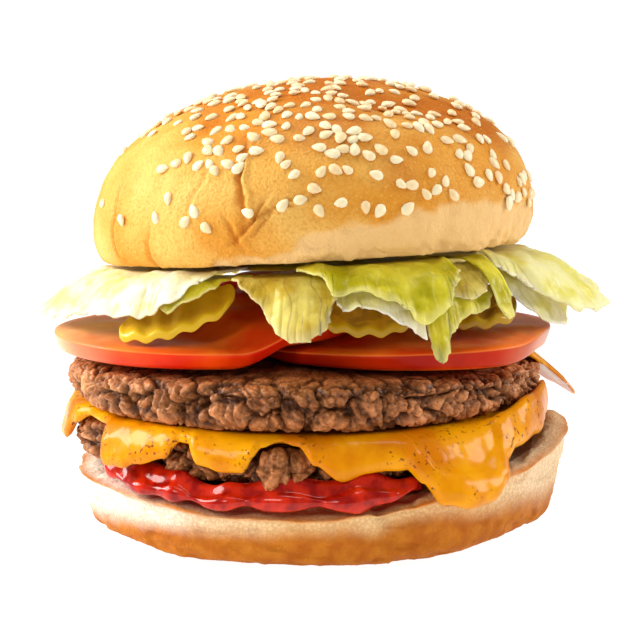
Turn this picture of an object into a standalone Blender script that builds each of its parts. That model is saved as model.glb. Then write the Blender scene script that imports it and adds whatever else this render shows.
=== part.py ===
"""A double cheeseburger in a sesame bun, at real size, in metres.

From the bottom up: heel of the bun, ketchup, lower patty, melted cheese slice, upper patty, second slice,
tomato slices, crinkle-cut pickle slices, torn lettuce and the seeded crown. Each one is its own solid.
+Z is up, -Y is the side that is shown to the eater, and the origin is the middle of the heel's flat foot.
Neighbouring layers share one height field, so that they fit with a gap of FIT between them.
"""

import math

import bmesh
import bpy
import numpy as np
from mathutils import Matrix

MM = 0.001
FIT = 0.35 * MM

# Bun
HEEL_RADIUS = 58.2 * MM
HEEL_RIM_HEIGHT = 18.4 * MM
HEEL_DISH = 1.4 * MM
HEEL_SLOPE_X = 0.043
HEEL_SLOPE_Y = 0.035
HEEL_RING_TO = 56.5 * MM
HEEL_TAPER = 3.8 * MM
HEEL_FOOT_LIFT = 1.8 * MM
CROWN_RADIUS = 51.8 * MM
CROWN_CENTRE = (-1.4 * MM, 0.0)
CROWN_CUT_HEIGHT = 64.6 * MM
CROWN_WIDEST_ABOVE_CUT = 7.5 * MM
CROWN_DOME = 33.0 * MM
CROWN_TUCK = 4.2 * MM
CROWN_SLOPE_X = 0.055
CROWN_SLOPE_Y = -0.057
SEED_COUNT = 96
SEED_LENGTH = 3.5 * MM
SEED_WIDTH = 2.2 * MM
SEED_THICKNESS = 1.3 * MM
SEED_SPACING = 4.1 * MM
SEED_LIFT = 0.15 * MM

# Patties
LOWER_CENTRE = (-3.0 * MM, 0.0)
LOWER_RADIUS = 52.6 * MM
UPPER_CENTRE = (-4.0 * MM, -1.0 * MM)
UPPER_RADIUS = 54.4 * MM
LOWER_TOP = 28.9 * MM
UPPER_TOP = 41.6 * MM
PATTY_SLOPE_Y = 0.015
UPPER_SLOPE_X = 0.02
CRAG_SIZE = 9.0 * MM
CRAG_DEPTH = 3.0 * MM

# Sauce and cheese
SAUCE_THICKNESS = 1.5 * MM
SAUCE_BEAD_RADIUS = 52.4 * MM
SAUCE_BEAD_RUN = 2.2 * MM
CHEESE_THICKNESS = 2.1 * MM
TOP_CHEESE_THICKNESS = 1.5 * MM
TOP_CHEESE_CENTRE = (5.0 * MM, 9.0 * MM)
TOP_CHEESE_DROOP = 0.92
TOP_CHEESE_SOFTNESS = 3.0 * MM
TOP_CHEESE_BEND_INSET = 3.2 * MM

# Salad
TOMATO_LEFT_CENTRE = (-24.0 * MM, -8.0 * MM)
TOMATO_LEFT_RADIUS = 38.6 * MM
TOMATO_LEFT_THICKNESS = 5.4 * MM
TOMATO_LEFT_THINNING = 1.2 * MM
TOMATO_LEFT_WEDGE = 0.04
TOMATO_RIGHT_CENTRE = (17.5 * MM, -9.0 * MM)
TOMATO_RIGHT_RADIUS = 36.8 * MM
TOMATO_RIGHT_THICKNESS = 5.6 * MM
TOMATO_RIGHT_WEDGE = 0.045
TOMATO_BACK_CENTRE = (3.0 * MM, 23.5 * MM)
TOMATO_BACK_RADIUS = 31.0 * MM
TOMATO_BACK_THICKNESS = 4.6 * MM
TOMATO_SKIN_SLANT = 2.4 * MM
TOMATO_LEAN_GAP = 0.7 * MM
TOMATO_CLIMB_START = 1.6 * MM
TOMATO_CLIMB_RUN = 12.0 * MM
TOMATO_BACK_CLIMB_RUN = 16.0 * MM
PICKLE_THICKNESS = 2.6 * MM
PICKLE_CRINKLE = 0.45 * MM
PICKLE_CRINKLE_LENGTH = 5.2 * MM
LEAF_THICKNESS = 0.9 * MM
LEAF_FIRST_DROP = 1.5 * MM
LEAF_LEVEL_STEP = 1.75 * MM
LEAF_INNER_RADIUS = 33.0 * MM
LEAF_BEND_RADIUS = 45.0 * MM
LEAF_STEPS_ACROSS = 11
LEAF_STEPS_OUT = 5

# Azimuths are in degrees from +X, so -90 is the shown front and 180 the left.
# Cheese: how far the slice reaches past the rim of the lower patty, by azimuth.
LOWER_CHEESE_HANG = {
    -176: 10.5, -168: 9.5, -162: 5, -157: 1.5, -146: 2, -141: 11, -136: 10.5, -130: 8.8, -123: 7, -120: 2.5,
    -117: 2.5, -114: 7, -109: 8.6, -104: 8.4, -100: 2.5, -96: 0.5, -92: 2, -88: 6.5, -82: 9.8, -77: 8.3,
    -68: 8, -65: 12, -62: 17, -56: 19, -50: 18.4, -46: 15.5, -42: 10, -37: 8, -24: 7, -14: 5.5, -4: 4.5, 12: 4.5,
    25: 9, 44: 13, 58: 6, 78: 2, 100: 5, 122: 13, 135: 15, 148: 7, 165: 4,
}
# Where the slice spills outwards over the heel instead of clinging to the patty, 0 to 1.
LOWER_CHEESE_SPILL = {
    -174: 0.1, -158: 0, -80: 0, -68: 0.6, -58: 0.9, -48: 0.8, -32: 0.7, -14: 0.4, 6: 0, 120: 0, 135: 0.5,
    150: 0,
}
# How far its shoulder swells up against the side of the upper patty, by azimuth: a hump across the slice's
# section, whose middle and half width are given along that section.
SWELL_PLACE = 55.5
SWELL_WIDTH = 2.2
LOWER_CHEESE_SWELL = {
    -52: 0, -38: 2.0, -24: 4.2, -10: 5.2, 4: 3.4, 20: 0, 150: 0, 172: 1.1, -166: 1.1, -155: 0,
}
# The second slice: how far its edge is from its centre, by azimuth. Two of its corners reach past the patty.
UPPER_CHEESE_REACH = {
    -60: 12, -42: 22, -26: 42, -16: 50, -5: 55, 5: 58, 14: 55, 26: 48, 45: 45, 70: 42, 100: 56, 112: 54,
    140: 36, 180: 24, 220: 14,
}
# Sauce: how far it reaches, by azimuth.
SAUCE_REACH = {
    -170: 47, -158: 54.5, -146: 56.6, -134: 57.6, -122: 57.4, -112: 58.1, -97: 57.4, -88: 58.1, -76: 57.5,
    -69: 55.5, -62: 50, -20: 46, 40: 50, 62: 54.5, 90: 51, 120: 47,
}

# Height of the heel's rim, in millimetres, by azimuth: it curls up at the right.
HEEL_RIM = {
    -175: 16.3, -160: 16.6, -148: 17.3, -129: 16, -111: 14.8, -90: 14.9, -78: 16.4, -71: 17.8, -55: 20.4,
    -40: 22.6, -25: 24.4, -12: 26.4, 0: 27.8, 14: 26.4, 35: 22, 90: 18.6, 140: 17.4,
}
# Where the heel's bed begins to rise to its rim, by azimuth.
HEEL_RING_FROM = {-62: 50, -36: 46, 14: 46, 36: 50}
# Height that the sauce bulges above its flat layer at the rim, in millimetres, by azimuth.
SAUCE_BEAD = {
    -170: 0.6, -158: 2.4, -146: 3.2, -134: 4.1, -122: 4.3, -114: 3.0, -106: 4.1, -92: 4.3, -84: 3.4, -78: 3.8,
    -70: 2.8, -60: 0.5, 40: 0.8, 62: 2.4, 90: 1.2, 120: 0.6,
}

# Leaves: level in the stack under the crown, ruffle in millimetres, ruffles across, and points of the hanging
# edge from one side to the other as (azimuth in degrees, radius and height in millimetres).
LEAVES = {
    "lettuce_left": (0, 0.6, 3.5, (
        (-217, 50, 59.5), (-203, 57, 56), (-187, 62, 53.5), (-176, 66, 51.3), (-170, 64.5, 50.6),
        (-160, 62, 51.5),
        (-150, 60, 54), (-142, 58.5, 54.2), (-136, 57.5, 54.4), (-131, 56.8, 55.4), (-127, 55.5, 58),
        (-119, 51, 62.5),
    )),
    "lettuce_left_fold": (1, 0.2, 2.0, (
        (-137, 54.2, 57.5), (-133, 54.5, 55.8), (-130, 54.5, 56.5), (-127, 54.5, 55.5),
        (-123, 53.5, 58), (-117, 50, 61.5),
    )),
    "lettuce_front_left": (1, 0.4, 2.5, (
        (-113, 48.5, 64), (-109, 50.5, 61), (-105, 52, 58.5), (-101, 53.5, 54.7), (-99, 55, 52.4),
        (-96, 55.8, 50.8),
        (-93, 56, 50.6), (-90, 55, 52.5), (-88.5, 54, 55), (-86, 52, 60),
    )),
    "lettuce_front": (0, 0.5, 3.0, (
        (-96, 49, 65.5), (-91, 52, 64), (-86.5, 54.5, 60.2), (-83, 55.2, 61.8), (-79, 56, 62),
        (-75, 56.5, 60),
        (-71, 57, 57.5), (-67, 57, 54.5), (-63, 56.3, 55.8), (-60, 56, 57.6), (-57.5, 55, 62),
        (-54, 52, 65),
    )),
    "lettuce_front_under": (2, 0.2, 1.5, (
        (-86, 52, 58.8), (-84.5, 52.7, 57), (-81, 53.4, 57.6), (-78.5, 54, 58), (-75, 54, 56.3),
        (-71, 54.4, 54.2),
        (-68, 54.8, 52.3), (-65.6, 55, 50.8),
    )),
    "lettuce_fold": (1, 0.3, 1.5, (
        (-59.5, 49, 63.5), (-58, 51.8, 61.3), (-55.5, 53.2, 59.8), (-52, 54.2, 58.7),
        (-48.5, 53.8, 59.5), (-45.5, 52.4, 61), (-43, 49.5, 63.5),
    )),
    "lettuce_front_right": (2, 0.2, 2.0, (
        (-64.6, 54.4, 51.5), (-63.4, 55.6, 46.4), (-61.6, 55.8, 45.8), (-60, 55.4, 47.8),
        (-58.8, 54.4, 52), (-55, 54, 54.5),
        (-51, 54.2, 55.8), (-47.5, 54.8, 56.4), (-45.5, 53.4, 58.2), (-44, 50, 61),
    )),
    "lettuce_strip": (0, 0.1, 1.0, (
        (-46.6, 55.2, 60.5), (-45.2, 57.2, 55.2), (-43.6, 57.4, 54.2), (-42, 57.2, 54.2),
        (-40.6, 55.6, 58.6),
    )),
    "lettuce_right": (0, 0.6, 3.5, (
        (-38, 49, 64), (-32, 51, 61.3), (-29, 54.5, 58.2), (-26, 58.5, 56), (-21, 63.5, 53.8),
        (-16, 66.6, 52.4),
        (-10, 67.5, 53), (-2, 65, 56), (9, 61, 57.5), (19, 57, 58.5), (27, 50, 62),
    )),
    "lettuce_right_under": (2, 0.3, 2.0, (
        (-32, 49, 60), (-29, 54, 53.6), (-25, 57.4, 51.1), (-16, 58.8, 49.8), (-8, 58, 52.6),
        (2, 55, 55), (11, 50, 58.5),
    )),
    "lettuce_back_right": (1, 0.8, 3.5, (
        (31, 50, 61), (38, 56, 55.5), (46, 58, 52.5), (53, 56.5, 54.5), (61, 57.5, 50.8),
        (68, 58, 51.8), (74, 54, 56.5), (78, 50, 60),
    )),
    "lettuce_back": (0, 0.6, 3.0, (
        (80, 50, 60.5), (84, 55.5, 56), (90, 58.5, 52), (96, 57.5, 54), (103, 58.5, 50.5),
        (110, 56, 54.5), (117, 50, 59),
    )),
    "lettuce_back_left": (1, 0.6, 3.0, (
        (109, 50, 57.5), (115, 54.5, 53.5), (122, 56.5, 49.8), (130, 57.5, 48.6), (136, 55.5, 52.5),
        (142, 50, 56.5),
    )),
}

# Pickle slices: centre x, y and z, half length and half width, and rise along x and along y.
PICKLES = {
    "pickle_left": (-31.5, -35.0, 54.6, 13.0, 7.6, 0.30, 0.50),
    "pickle_middle": (9.5, -35.0, 54.6, 11.5, 7.0, -0.05, 0.60),
    "pickle_right": (33.2, -24.0, 55.0, 11.5, 9.0, -0.04, 0.42),
}

COLOURS = {
    "heel": ((0.80, 0.52, 0.26), 0.75),
    "crown": ((0.82, 0.48, 0.18), 0.55),
    "patty": ((0.24, 0.12, 0.07), 0.6),
    "cheese": ((0.93, 0.50, 0.04), 0.3),
    "ketchup": ((0.55, 0.03, 0.01), 0.15),
    "tomato": ((0.75, 0.10, 0.03), 0.25),
    "pickle": ((0.42, 0.38, 0.08), 0.3),
    "lettuce": ((0.62, 0.68, 0.22), 0.35),
}


def start_clean():
    for old in list(bpy.data.objects):
        bpy.data.objects.remove(old, do_unlink=True)


def material(name):
    """A Principled material in one of the colours of COLOURS."""
    if name in bpy.data.materials:
        return bpy.data.materials[name]
    (red, green, blue), roughness = COLOURS[name]
    made = bpy.data.materials.new(name)
    made.use_nodes = True
    shader = made.node_tree.nodes["Principled BSDF"]
    shader.inputs["Base Color"].default_value = (red, green, blue, 1.0)
    shader.inputs["Roughness"].default_value = roughness
    return made


def put_in(collection, name, mesh, finish):
    """A smooth-shaded object of that mesh in the collection."""
    mesh.materials.append(material(finish))
    mesh.shade_smooth()
    made = bpy.data.objects.new(name, mesh)
    collection.objects.link(made)
    return made


def ease(value):
    """0 up to 1 with a flat start and end, for value from 0 to 1."""
    held = np.clip(value, 0.0, 1.0)
    return held * held * (3.0 - 2.0 * held)


def around(azimuth, knots):
    """A value that follows {azimuth in degrees: value} all the way round, easing from one to the next."""
    at = np.array(sorted(knots), float)
    value = np.array([knots[int(k)] for k in at], float)
    at = np.concatenate([at, at[:1] + 360.0])
    value = np.concatenate([value, value[:1]])
    degrees = (np.degrees(azimuth) - at[0]) % 360.0 + at[0]
    after = np.clip(np.searchsorted(at, degrees, side="right"), 1, len(at) - 1)
    share = ease((degrees - at[after - 1]) / (at[after] - at[after - 1]))
    return value[after - 1] + (value[after] - value[after - 1]) * share


def along(share, values):
    """A smooth value at share 0 to 1 of the way through evenly spaced values."""
    place = np.clip(share, 0.0, 1.0) * (len(values) - 1)
    before = np.minimum(place.astype(int), len(values) - 2)
    values = np.array(values, float)
    return values[before] + (values[before + 1] - values[before]) * ease(place - before)


def ripple(azimuth, turns, seed):
    """An uneven wave round a disc, from -1 to 1: a few sines whose phases come from the seed."""
    phases = np.random.default_rng(seed).uniform(0, 2 * math.pi, len(turns))
    return sum(np.sin(n * azimuth + p) for n, p in zip(turns, phases)) / len(turns)


def crags(points, size, seed):
    """Lumps of minced meat, from 0 in the clefts to 1 on the lumps, by the distance to scattered centres."""
    reach = 66 * MM
    scattered = np.random.default_rng(seed)
    count = int((2 * reach) ** 2 * 50 * MM / size**3)
    centres = scattered.uniform(-reach, reach, (count, 3))
    centres[:, 2] = scattered.uniform(0, 50 * MM, count)
    nearest = np.array([np.min(np.linalg.norm(centres - p, axis=1)) for p in points])
    return 1.0 - np.clip(nearest / (0.75 * size), 0.0, 1.0) ** 2


# Height fields, in metres above the table. Each one is the face that two neighbouring layers share.
def heel_bed(x, y):
    """The dished, slightly tilted cut that the lower patty lies on."""
    radius = np.hypot(x, y) / HEEL_RADIUS
    return HEEL_RIM_HEIGHT + HEEL_SLOPE_X * x + HEEL_SLOPE_Y * y - HEEL_DISH * (1.0 - np.clip(radius, 0, 1) ** 2)


def heel_top(x, y):
    """The bed, whose outermost ring rises or falls to the height of the rim."""
    rim = around(np.arctan2(y, x), HEEL_RIM) * MM
    begins = around(np.arctan2(y, x), HEEL_RING_FROM) * MM
    return heel_bed(x, y) + (rim - heel_bed(x, y)) * ease((np.hypot(x, y) - begins) / (HEEL_RING_TO - begins))


def heel_foot(x, y):
    """Flat on the table, and rounded up from it at the right."""
    return HEEL_FOOT_LIFT * ease((x - 15 * MM) / (30 * MM)) * ease((np.hypot(x, y) - 38 * MM) / (14 * MM))


def lower_patty_bottom(x, y):
    return heel_bed(x, y) + FIT + SAUCE_THICKNESS + FIT


def lower_patty_top(x, y):
    return LOWER_TOP + PATTY_SLOPE_Y * y


def upper_patty_bottom(x, y):
    return lower_patty_top(x, y) + FIT + CHEESE_THICKNESS + FIT


def upper_patty_top(x, y):
    return UPPER_TOP - UPPER_SLOPE_X * np.maximum(x, 0.0) - PATTY_SLOPE_Y * y


def tomato_bottom(x, y):
    """The slices lie on the upper patty at the front and on the second cheese slice at the back right."""
    over_cheese = ease((y / MM + 34.0) / 14.0) * ease((x / MM + 46.0) / 20.0)
    return upper_patty_top(x, y) + FIT + (TOP_CHEESE_THICKNESS + FIT) * over_cheese


def climb(x, y, centre, radius, run):
    """0 away from a round slice up to 1 on top of it, for a layer that bends up over its edge."""
    away = np.hypot(x - centre[0], y - centre[1]) - radius
    return ease(1.0 - (away - TOMATO_CLIMB_START) / run)


def tomato_right_top(x, y):
    return tomato_bottom(x, y) + TOMATO_RIGHT_THICKNESS + TOMATO_RIGHT_WEDGE * (x - 20 * MM)


def tomato_left_bottom(x, y):
    """The left slice lies on the patty, and its right part climbs onto the right slice."""
    rest = tomato_bottom(x, y)
    on_right = climb(x, y, TOMATO_RIGHT_CENTRE, TOMATO_RIGHT_RADIUS, TOMATO_CLIMB_RUN)
    return rest + (tomato_right_top(x, y) + FIT - rest) * on_right


def tomato_left_top(x, y):
    thicker = TOMATO_LEFT_WEDGE * np.clip(y + 46.0 * MM, 0.0, 36.0 * MM) * ease((34.0 * MM - y) / (34.0 * MM))
    thinner = TOMATO_LEFT_THINNING * climb(x, y, TOMATO_RIGHT_CENTRE, TOMATO_RIGHT_RADIUS, TOMATO_CLIMB_RUN)
    return tomato_left_bottom(x, y) + TOMATO_LEFT_THICKNESS + thicker - thinner


def tomato_back_bottom(x, y):
    """The back slice leans on both front ones and droops behind them."""
    rest = tomato_bottom(x, y)
    on_right = climb(x, y, TOMATO_RIGHT_CENTRE, TOMATO_RIGHT_RADIUS, TOMATO_BACK_CLIMB_RUN)
    on_left = climb(x, y, TOMATO_LEFT_CENTRE, TOMATO_LEFT_RADIUS, TOMATO_BACK_CLIMB_RUN)
    over_right = (tomato_right_top(x, y) + FIT - rest) * on_right
    over_left = (tomato_left_top(x, y) + FIT - rest) * on_left
    pile = np.maximum(over_right, over_left)
    return rest + pile + TOMATO_LEAN_GAP * np.maximum(on_left, on_right)


def tomato_back_top(x, y):
    return tomato_back_bottom(x, y) + TOMATO_BACK_THICKNESS


def crown_cut(x, y):
    return CROWN_CUT_HEIGHT + CROWN_SLOPE_X * x + CROWN_SLOPE_Y * y


def leaf_level(x, y, level):
    return crown_cut(x, y) - LEAF_FIRST_DROP - level * LEAF_LEVEL_STEP


def disc_mesh(name, segments, rings, shape):
    """A UV sphere whose points are moved to shape(azimuth, t), for t from 0 at the top pole to 1 below."""
    sphere = bmesh.new()
    bmesh.ops.create_uvsphere(sphere, u_segments=segments, v_segments=rings, radius=1.0)
    unit = np.array([v.co for v in sphere.verts])
    azimuth = np.arctan2(unit[:, 1], unit[:, 0])
    t = np.arccos(np.clip(unit[:, 2], -1.0, 1.0)) / math.pi
    for vertex, point in zip(sphere.verts, shape(azimuth, t)):
        vertex.co = point
    bmesh.ops.triangulate(sphere, faces=sphere.faces)
    mesh = bpy.data.meshes.new(name)
    sphere.to_mesh(mesh)
    sphere.free()
    return mesh


def slab(centre, outline, bottom, top, squareness, foot=1.0):
    """A shape for disc_mesh: a slab with rounded edges between two height fields.
    Its section is a superellipse, so a higher squareness makes its edge tighter; foot over 1 flattens it."""

    def shape(azimuth, t):
        radial = np.abs(np.sin(math.pi * t)) ** (2.0 / squareness)
        upward = np.cos(math.pi * t)
        upward = np.sign(upward) * np.abs(upward) ** (2.0 / squareness)
        upward = np.clip(upward * foot, -1.0, 1.0)
        radius = outline(azimuth, upward) * radial
        x = centre[0] + radius * np.cos(azimuth)
        y = centre[1] + radius * np.sin(azimuth)
        low, high = bottom(x, y), top(x, y)
        return np.stack([x, y, low + (high - low) * (1.0 + upward) / 2.0], axis=1)

    return shape


def build_heel(collection):
    def outline(azimuth, upward):
        wrinkles = 0.5 * MM * ripple(azimuth, (5, 9, 14), 3)
        return HEEL_RADIUS + wrinkles - HEEL_TAPER * (1.0 - upward) / 2.0

    shape = slab((0.5 * MM, 0.0), outline, heel_foot, heel_top, 6.5)
    return put_in(collection, "bun_heel", disc_mesh("bun_heel", 40, 10, shape), "heel")


def build_sauce(collection):
    def outline(azimuth, upward):
        return around(azimuth, SAUCE_REACH) * MM

    def top(x, y):
        bead = around(np.arctan2(y, x), SAUCE_BEAD) * MM
        out = ease((np.hypot(x, y) - SAUCE_BEAD_RADIUS) / SAUCE_BEAD_RUN)
        return heel_bed(x, y) + FIT + SAUCE_THICKNESS + bead * out

    shape = slab((0.0, 0.0), outline, lambda x, y: heel_top(x, y) + FIT, top, 4.0)
    return put_in(collection, "ketchup", disc_mesh("ketchup", 36, 6, shape), "ketchup")


def build_patty(collection, name, centre, radius, bottom, top, seed):
    """A patty whose side is broken into lumps of mince with clefts between them."""

    def outline(azimuth, upward):
        return radius * (1.0 + 0.012 * ripple(azimuth, (2, 3, 5), seed)) + 0.0 * upward

    smooth = slab(centre, outline, bottom, top, 5.0)

    def shape(azimuth, t):
        points = smooth(azimuth, t)
        outwards = (points[:, :2] - centre) / radius
        on_side = ease((np.hypot(outwards[:, 0], outwards[:, 1]) - 0.75) / 0.2)
        cleft = (1.0 - crags(points, CRAG_SIZE, seed)) * CRAG_DEPTH * on_side
        points[:, :2] -= outwards * cleft[:, None]
        return points

    return put_in(collection, name, disc_mesh(name, 46, 8, shape), "patty")


# How much thicker the edge of a spilling drip is than the slice.
DRIP_FATTENING = 0.9
# Drape paths: radius and height, in millimetres, of the middle of a slice as it leaves the patty's top.
CLINGING_PATH = (
    (0, 0), (40, 0), (48, 0), (53.2, -0.4), (55.7, -2.6), (56.8, -6.0), (57.4, -9.5), (59.0, -12.0),
    (60.4, -16),
    (61, -24),
)
SPILLING_PATH = (
    (0, 0), (40, 0), (48, 0), (53.2, -0.4), (56.2, -2.4), (58.2, -5.5), (60.6, -8.6), (62.6, -11.6),
    (63.4, -16),
    (63.4, -25),
)


def smooth_path(points, step=0.25):
    """Evenly spaced points, step apart, on the Catmull-Rom curve through these."""
    points = np.array(points, float)
    padded = np.concatenate([2 * points[:1] - points[1:2], points, 2 * points[-1:] - points[-2:-1]])
    share = np.linspace(0, 1, 24, endpoint=False)[:, None]
    runs = []
    for a, b, c, d in zip(padded, padded[1:], padded[2:], padded[3:]):
        runs.append(
            0.5 * (
                2 * b
                + (c - a) * share
                + (2 * a - 5 * b + 4 * c - d) * share**2
                + (3 * b - a - 3 * c + d) * share**3
            )
        )
    curve = np.concatenate(runs + [points[-1:]])
    length = np.concatenate([[0], np.cumsum(np.linalg.norm(np.diff(curve, axis=0), axis=1))])
    even = np.arange(0, length[-1], step)
    return np.stack([np.interp(even, length, curve[:, k]) for k in range(2)], axis=1)


def draped(centre, flat_radius, hang, spill, swell, floor, thickness, bead):
    """A shape for disc_mesh: a slice that lies on the height field floor and hangs over the rim by hang.
    t runs from the middle over the upper face to the edge, and back under the lower face to the middle."""
    step = 0.25
    paths = [smooth_path(p, step) for p in (CLINGING_PATH, SPILLING_PATH)]

    def at(path, s):
        where = np.arange(len(path)) * step
        return np.interp(s, where, path[:, 0]), np.interp(s, where, path[:, 1])

    def middle(s, lean):
        (r0, z0), (r1, z1) = at(paths[0], s), at(paths[1], s)
        return r0 + (r1 - r0) * lean, z0 + (z1 - z0) * lean

    def shape(azimuth, t):
        outer = t <= 0.5 + 1e-6
        share = np.where(outer, t, 1.0 - t) * 2.0
        length = flat_radius / MM + hang(azimuth)
        s = length * (1.0 - (1.0 - share) ** 1.75)
        lean = spill(azimuth)
        r, z = middle(s, lean)
        r_before, z_before = middle(s - 0.6, lean)
        r_after, z_after = middle(s + 0.6, lean)
        run, rise = r_after - r_before, z_after - z_before
        norm = np.maximum(np.hypot(run, rise), 1e-6)
        rounding = np.clip((s - (length - 1.3 * thickness / MM)) / (1.3 * thickness / MM), 0.0, 1.0)
        fat = 1.0 + bead * lean * ease((s - length + 9.0) / 5.0)
        half = 0.5 * thickness / MM * fat * np.sqrt(1.0 - rounding**2)
        side = np.where(outer, 1.0, -1.0)
        # The slice thickens outwards only, so its inner face stays clear of the patty.
        shift = side * half + 0.5 * thickness / MM * (fat - 1.0) * np.sqrt(1.0 - rounding**2)
        r = (r - rise / norm * shift) * MM
        hump = swell(azimuth) * np.exp(-(((s - SWELL_PLACE) / SWELL_WIDTH) ** 2))
        z = (z + run / norm * shift + np.where(outer, hump, 0.0)) * MM
        r = np.maximum(r, 0.0)
        x = centre[0] + r * np.cos(azimuth)
        y = centre[1] + r * np.sin(azimuth)
        reach = np.minimum(r, 0.93 * flat_radius) / np.maximum(r, 1e-9)
        base = floor(centre[0] + (x - centre[0]) * reach, centre[1] + (y - centre[1]) * reach)
        return np.stack([x, y, base + FIT + 0.5 * thickness + z], axis=1)

    return shape


def build_lower_cheese(collection):
    shape = draped(
        LOWER_CENTRE,
        LOWER_RADIUS,
        lambda azimuth: around(azimuth, LOWER_CHEESE_HANG),
        lambda azimuth: around(azimuth, LOWER_CHEESE_SPILL),
        lambda azimuth: around(azimuth, LOWER_CHEESE_SWELL),
        lower_patty_top,
        CHEESE_THICKNESS,
        DRIP_FATTENING,
    )
    return put_in(collection, "cheese_lower", disc_mesh("cheese_lower", 56, 10, shape), "cheese")


def build_upper_cheese(collection):
    """The second slice, set back and to the right: only its corners show, folded down over the patty."""
    bend = UPPER_RADIUS - TOP_CHEESE_BEND_INSET

    def shape(azimuth, t):
        outer = t <= 0.5 + 1e-6
        share = np.where(outer, t, 1.0 - t) * 2.0
        reach = around(azimuth, UPPER_CHEESE_REACH) * MM
        s = reach * (1.0 - (1.0 - share) ** 1.6)
        x = TOP_CHEESE_CENTRE[0] + s * np.cos(azimuth)
        y = TOP_CHEESE_CENTRE[1] + s * np.sin(azimuth)
        rounding = np.clip((s - reach) / (1.6 * MM) + 1.0, 0.0, 1.0)
        half = 0.5 * TOP_CHEESE_THICKNESS * np.sqrt(1.0 - rounding**2)
        past = np.clip(np.hypot(x - UPPER_CENTRE[0], y - UPPER_CENTRE[1]) - bend, 0.0, None)
        droop = TOP_CHEESE_DROOP * (np.hypot(past, TOP_CHEESE_SOFTNESS) - TOP_CHEESE_SOFTNESS)
        height = upper_patty_top(x, y) + FIT + 0.5 * TOP_CHEESE_THICKNESS - droop
        return np.stack([x, y, height + np.where(outer, half, -half)], axis=1)

    return put_in(collection, "cheese_upper", disc_mesh("cheese_upper", 28, 8, shape), "cheese")


def build_tomatoes(collection):
    """Three slices whose skin slants inwards from the upper cut to the lower one."""

    def slanted(radius, seed):
        def outline(azimuth, upward):
            lobes = 0.012 * ripple(azimuth, (3, 5, 7), seed)
            return radius * (1.0 + lobes) - TOMATO_SKIN_SLANT * (1.0 - upward) / 2.0

        return outline

    slices = (
        ("tomato_left", TOMATO_LEFT_CENTRE, TOMATO_LEFT_RADIUS, tomato_left_bottom, tomato_left_top, 11),
        ("tomato_right", TOMATO_RIGHT_CENTRE, TOMATO_RIGHT_RADIUS, tomato_bottom, tomato_right_top, 12),
        ("tomato_back", TOMATO_BACK_CENTRE, TOMATO_BACK_RADIUS, tomato_back_bottom, tomato_back_top, 13),
    )
    for name, centre, radius, bottom, top, seed in slices:
        shape = slab(centre, slanted(radius, seed), bottom, top, 5.0)
        put_in(collection, name, disc_mesh(name, 28, 7, shape), "tomato")


def build_pickles(collection):
    """Crinkle-cut slices, leaning: both faces carry the same ridges, which run across the slice."""
    for number, (name, (x0, y0, z0, half_length, half_width, rise_x, rise_y)) in enumerate(PICKLES.items()):

        def shape(azimuth, t):
            section = 2.0 / 4.0
            radial = np.abs(np.sin(math.pi * t)) ** section
            upward = np.sign(0.5 - t) * np.abs(np.cos(math.pi * t)) ** section
            wobble = 1.0 + 0.03 * ripple(azimuth, (2, 3, 6), 40 + number)
            along_slice = half_length * MM * radial * wobble * np.cos(azimuth)
            across_slice = half_width * MM * radial * wobble * np.sin(azimuth)
            ridge = PICKLE_CRINKLE * np.sin(2 * math.pi * along_slice / PICKLE_CRINKLE_LENGTH)
            x = x0 * MM + along_slice
            y = y0 * MM + across_slice / math.hypot(1.0, rise_y)
            plane = z0 * MM + rise_x * (x - x0 * MM) + rise_y * (y - y0 * MM)
            return np.stack([x, y, plane + ridge + upward * PICKLE_THICKNESS / 2], axis=1)

        put_in(collection, name, disc_mesh(name, 20, 7, shape), "pickle")


def leaf_edge(u, points):
    """The hanging edge of a leaf at share u from one side to the other, as azimuth, radius and height."""
    azimuth, radius, height = (along(u, [p[k] for p in points]) for k in range(3))
    even = u * (len(points) - 1)
    before = np.minimum(even.astype(int), len(points) - 2)
    azimuths = np.array([p[0] for p in points], float)
    azimuth = azimuths[before] + (azimuths[before + 1] - azimuths[before]) * (even - before)
    return np.radians(azimuth), radius * MM, height * MM


def leaf_surface(u, v, spec):
    """A point of a leaf's middle surface, for u from 0 to 1 from side to side and v from 0 to 1 outwards.
    The leaf lies flat under the crown up to the bend, then follows a Bezier curve out and down."""
    level, ruffle, waves, points = spec
    azimuth, edge_radius, edge_height = leaf_edge(u, points)
    flat_share = 0.3
    over = np.clip((v - flat_share) / (1.0 - flat_share), 0.0, 1.0)
    lying = np.clip(v / flat_share, 0.0, 1.0)
    east, north = np.cos(azimuth), np.sin(azimuth)
    bend = LEAF_BEND_RADIUS + CROWN_CENTRE[0] * east
    inner = LEAF_INNER_RADIUS + (bend - LEAF_INNER_RADIUS) * lying
    start_height = leaf_level(bend * east, bend * north, level)
    drop = np.maximum(start_height - edge_height, 0.0)
    shoulder = np.minimum(bend + 0.35 * drop + 0.3 * (edge_radius - bend), edge_radius + 0.5 * MM)
    first, second, third = (1.0 - over) ** 2, 2.0 * over * (1.0 - over), over**2
    radius = np.where(v <= flat_share, inner, first * bend + second * shoulder + third * edge_radius)
    height = np.where(
        v <= flat_share,
        leaf_level(inner * east, inner * north, level),
        (first + second) * start_height + third * np.minimum(edge_height, start_height),
    )
    fade = ease(over / 0.8) * ease(np.minimum(u, 1.0 - u) / 0.15)
    wave = ruffle * MM * np.sin(2 * math.pi * waves * u + level) * fade
    radius = radius + wave * over
    return np.stack([radius * east, radius * north, height + 0.5 * wave * (1.0 - over)], axis=1)


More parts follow.
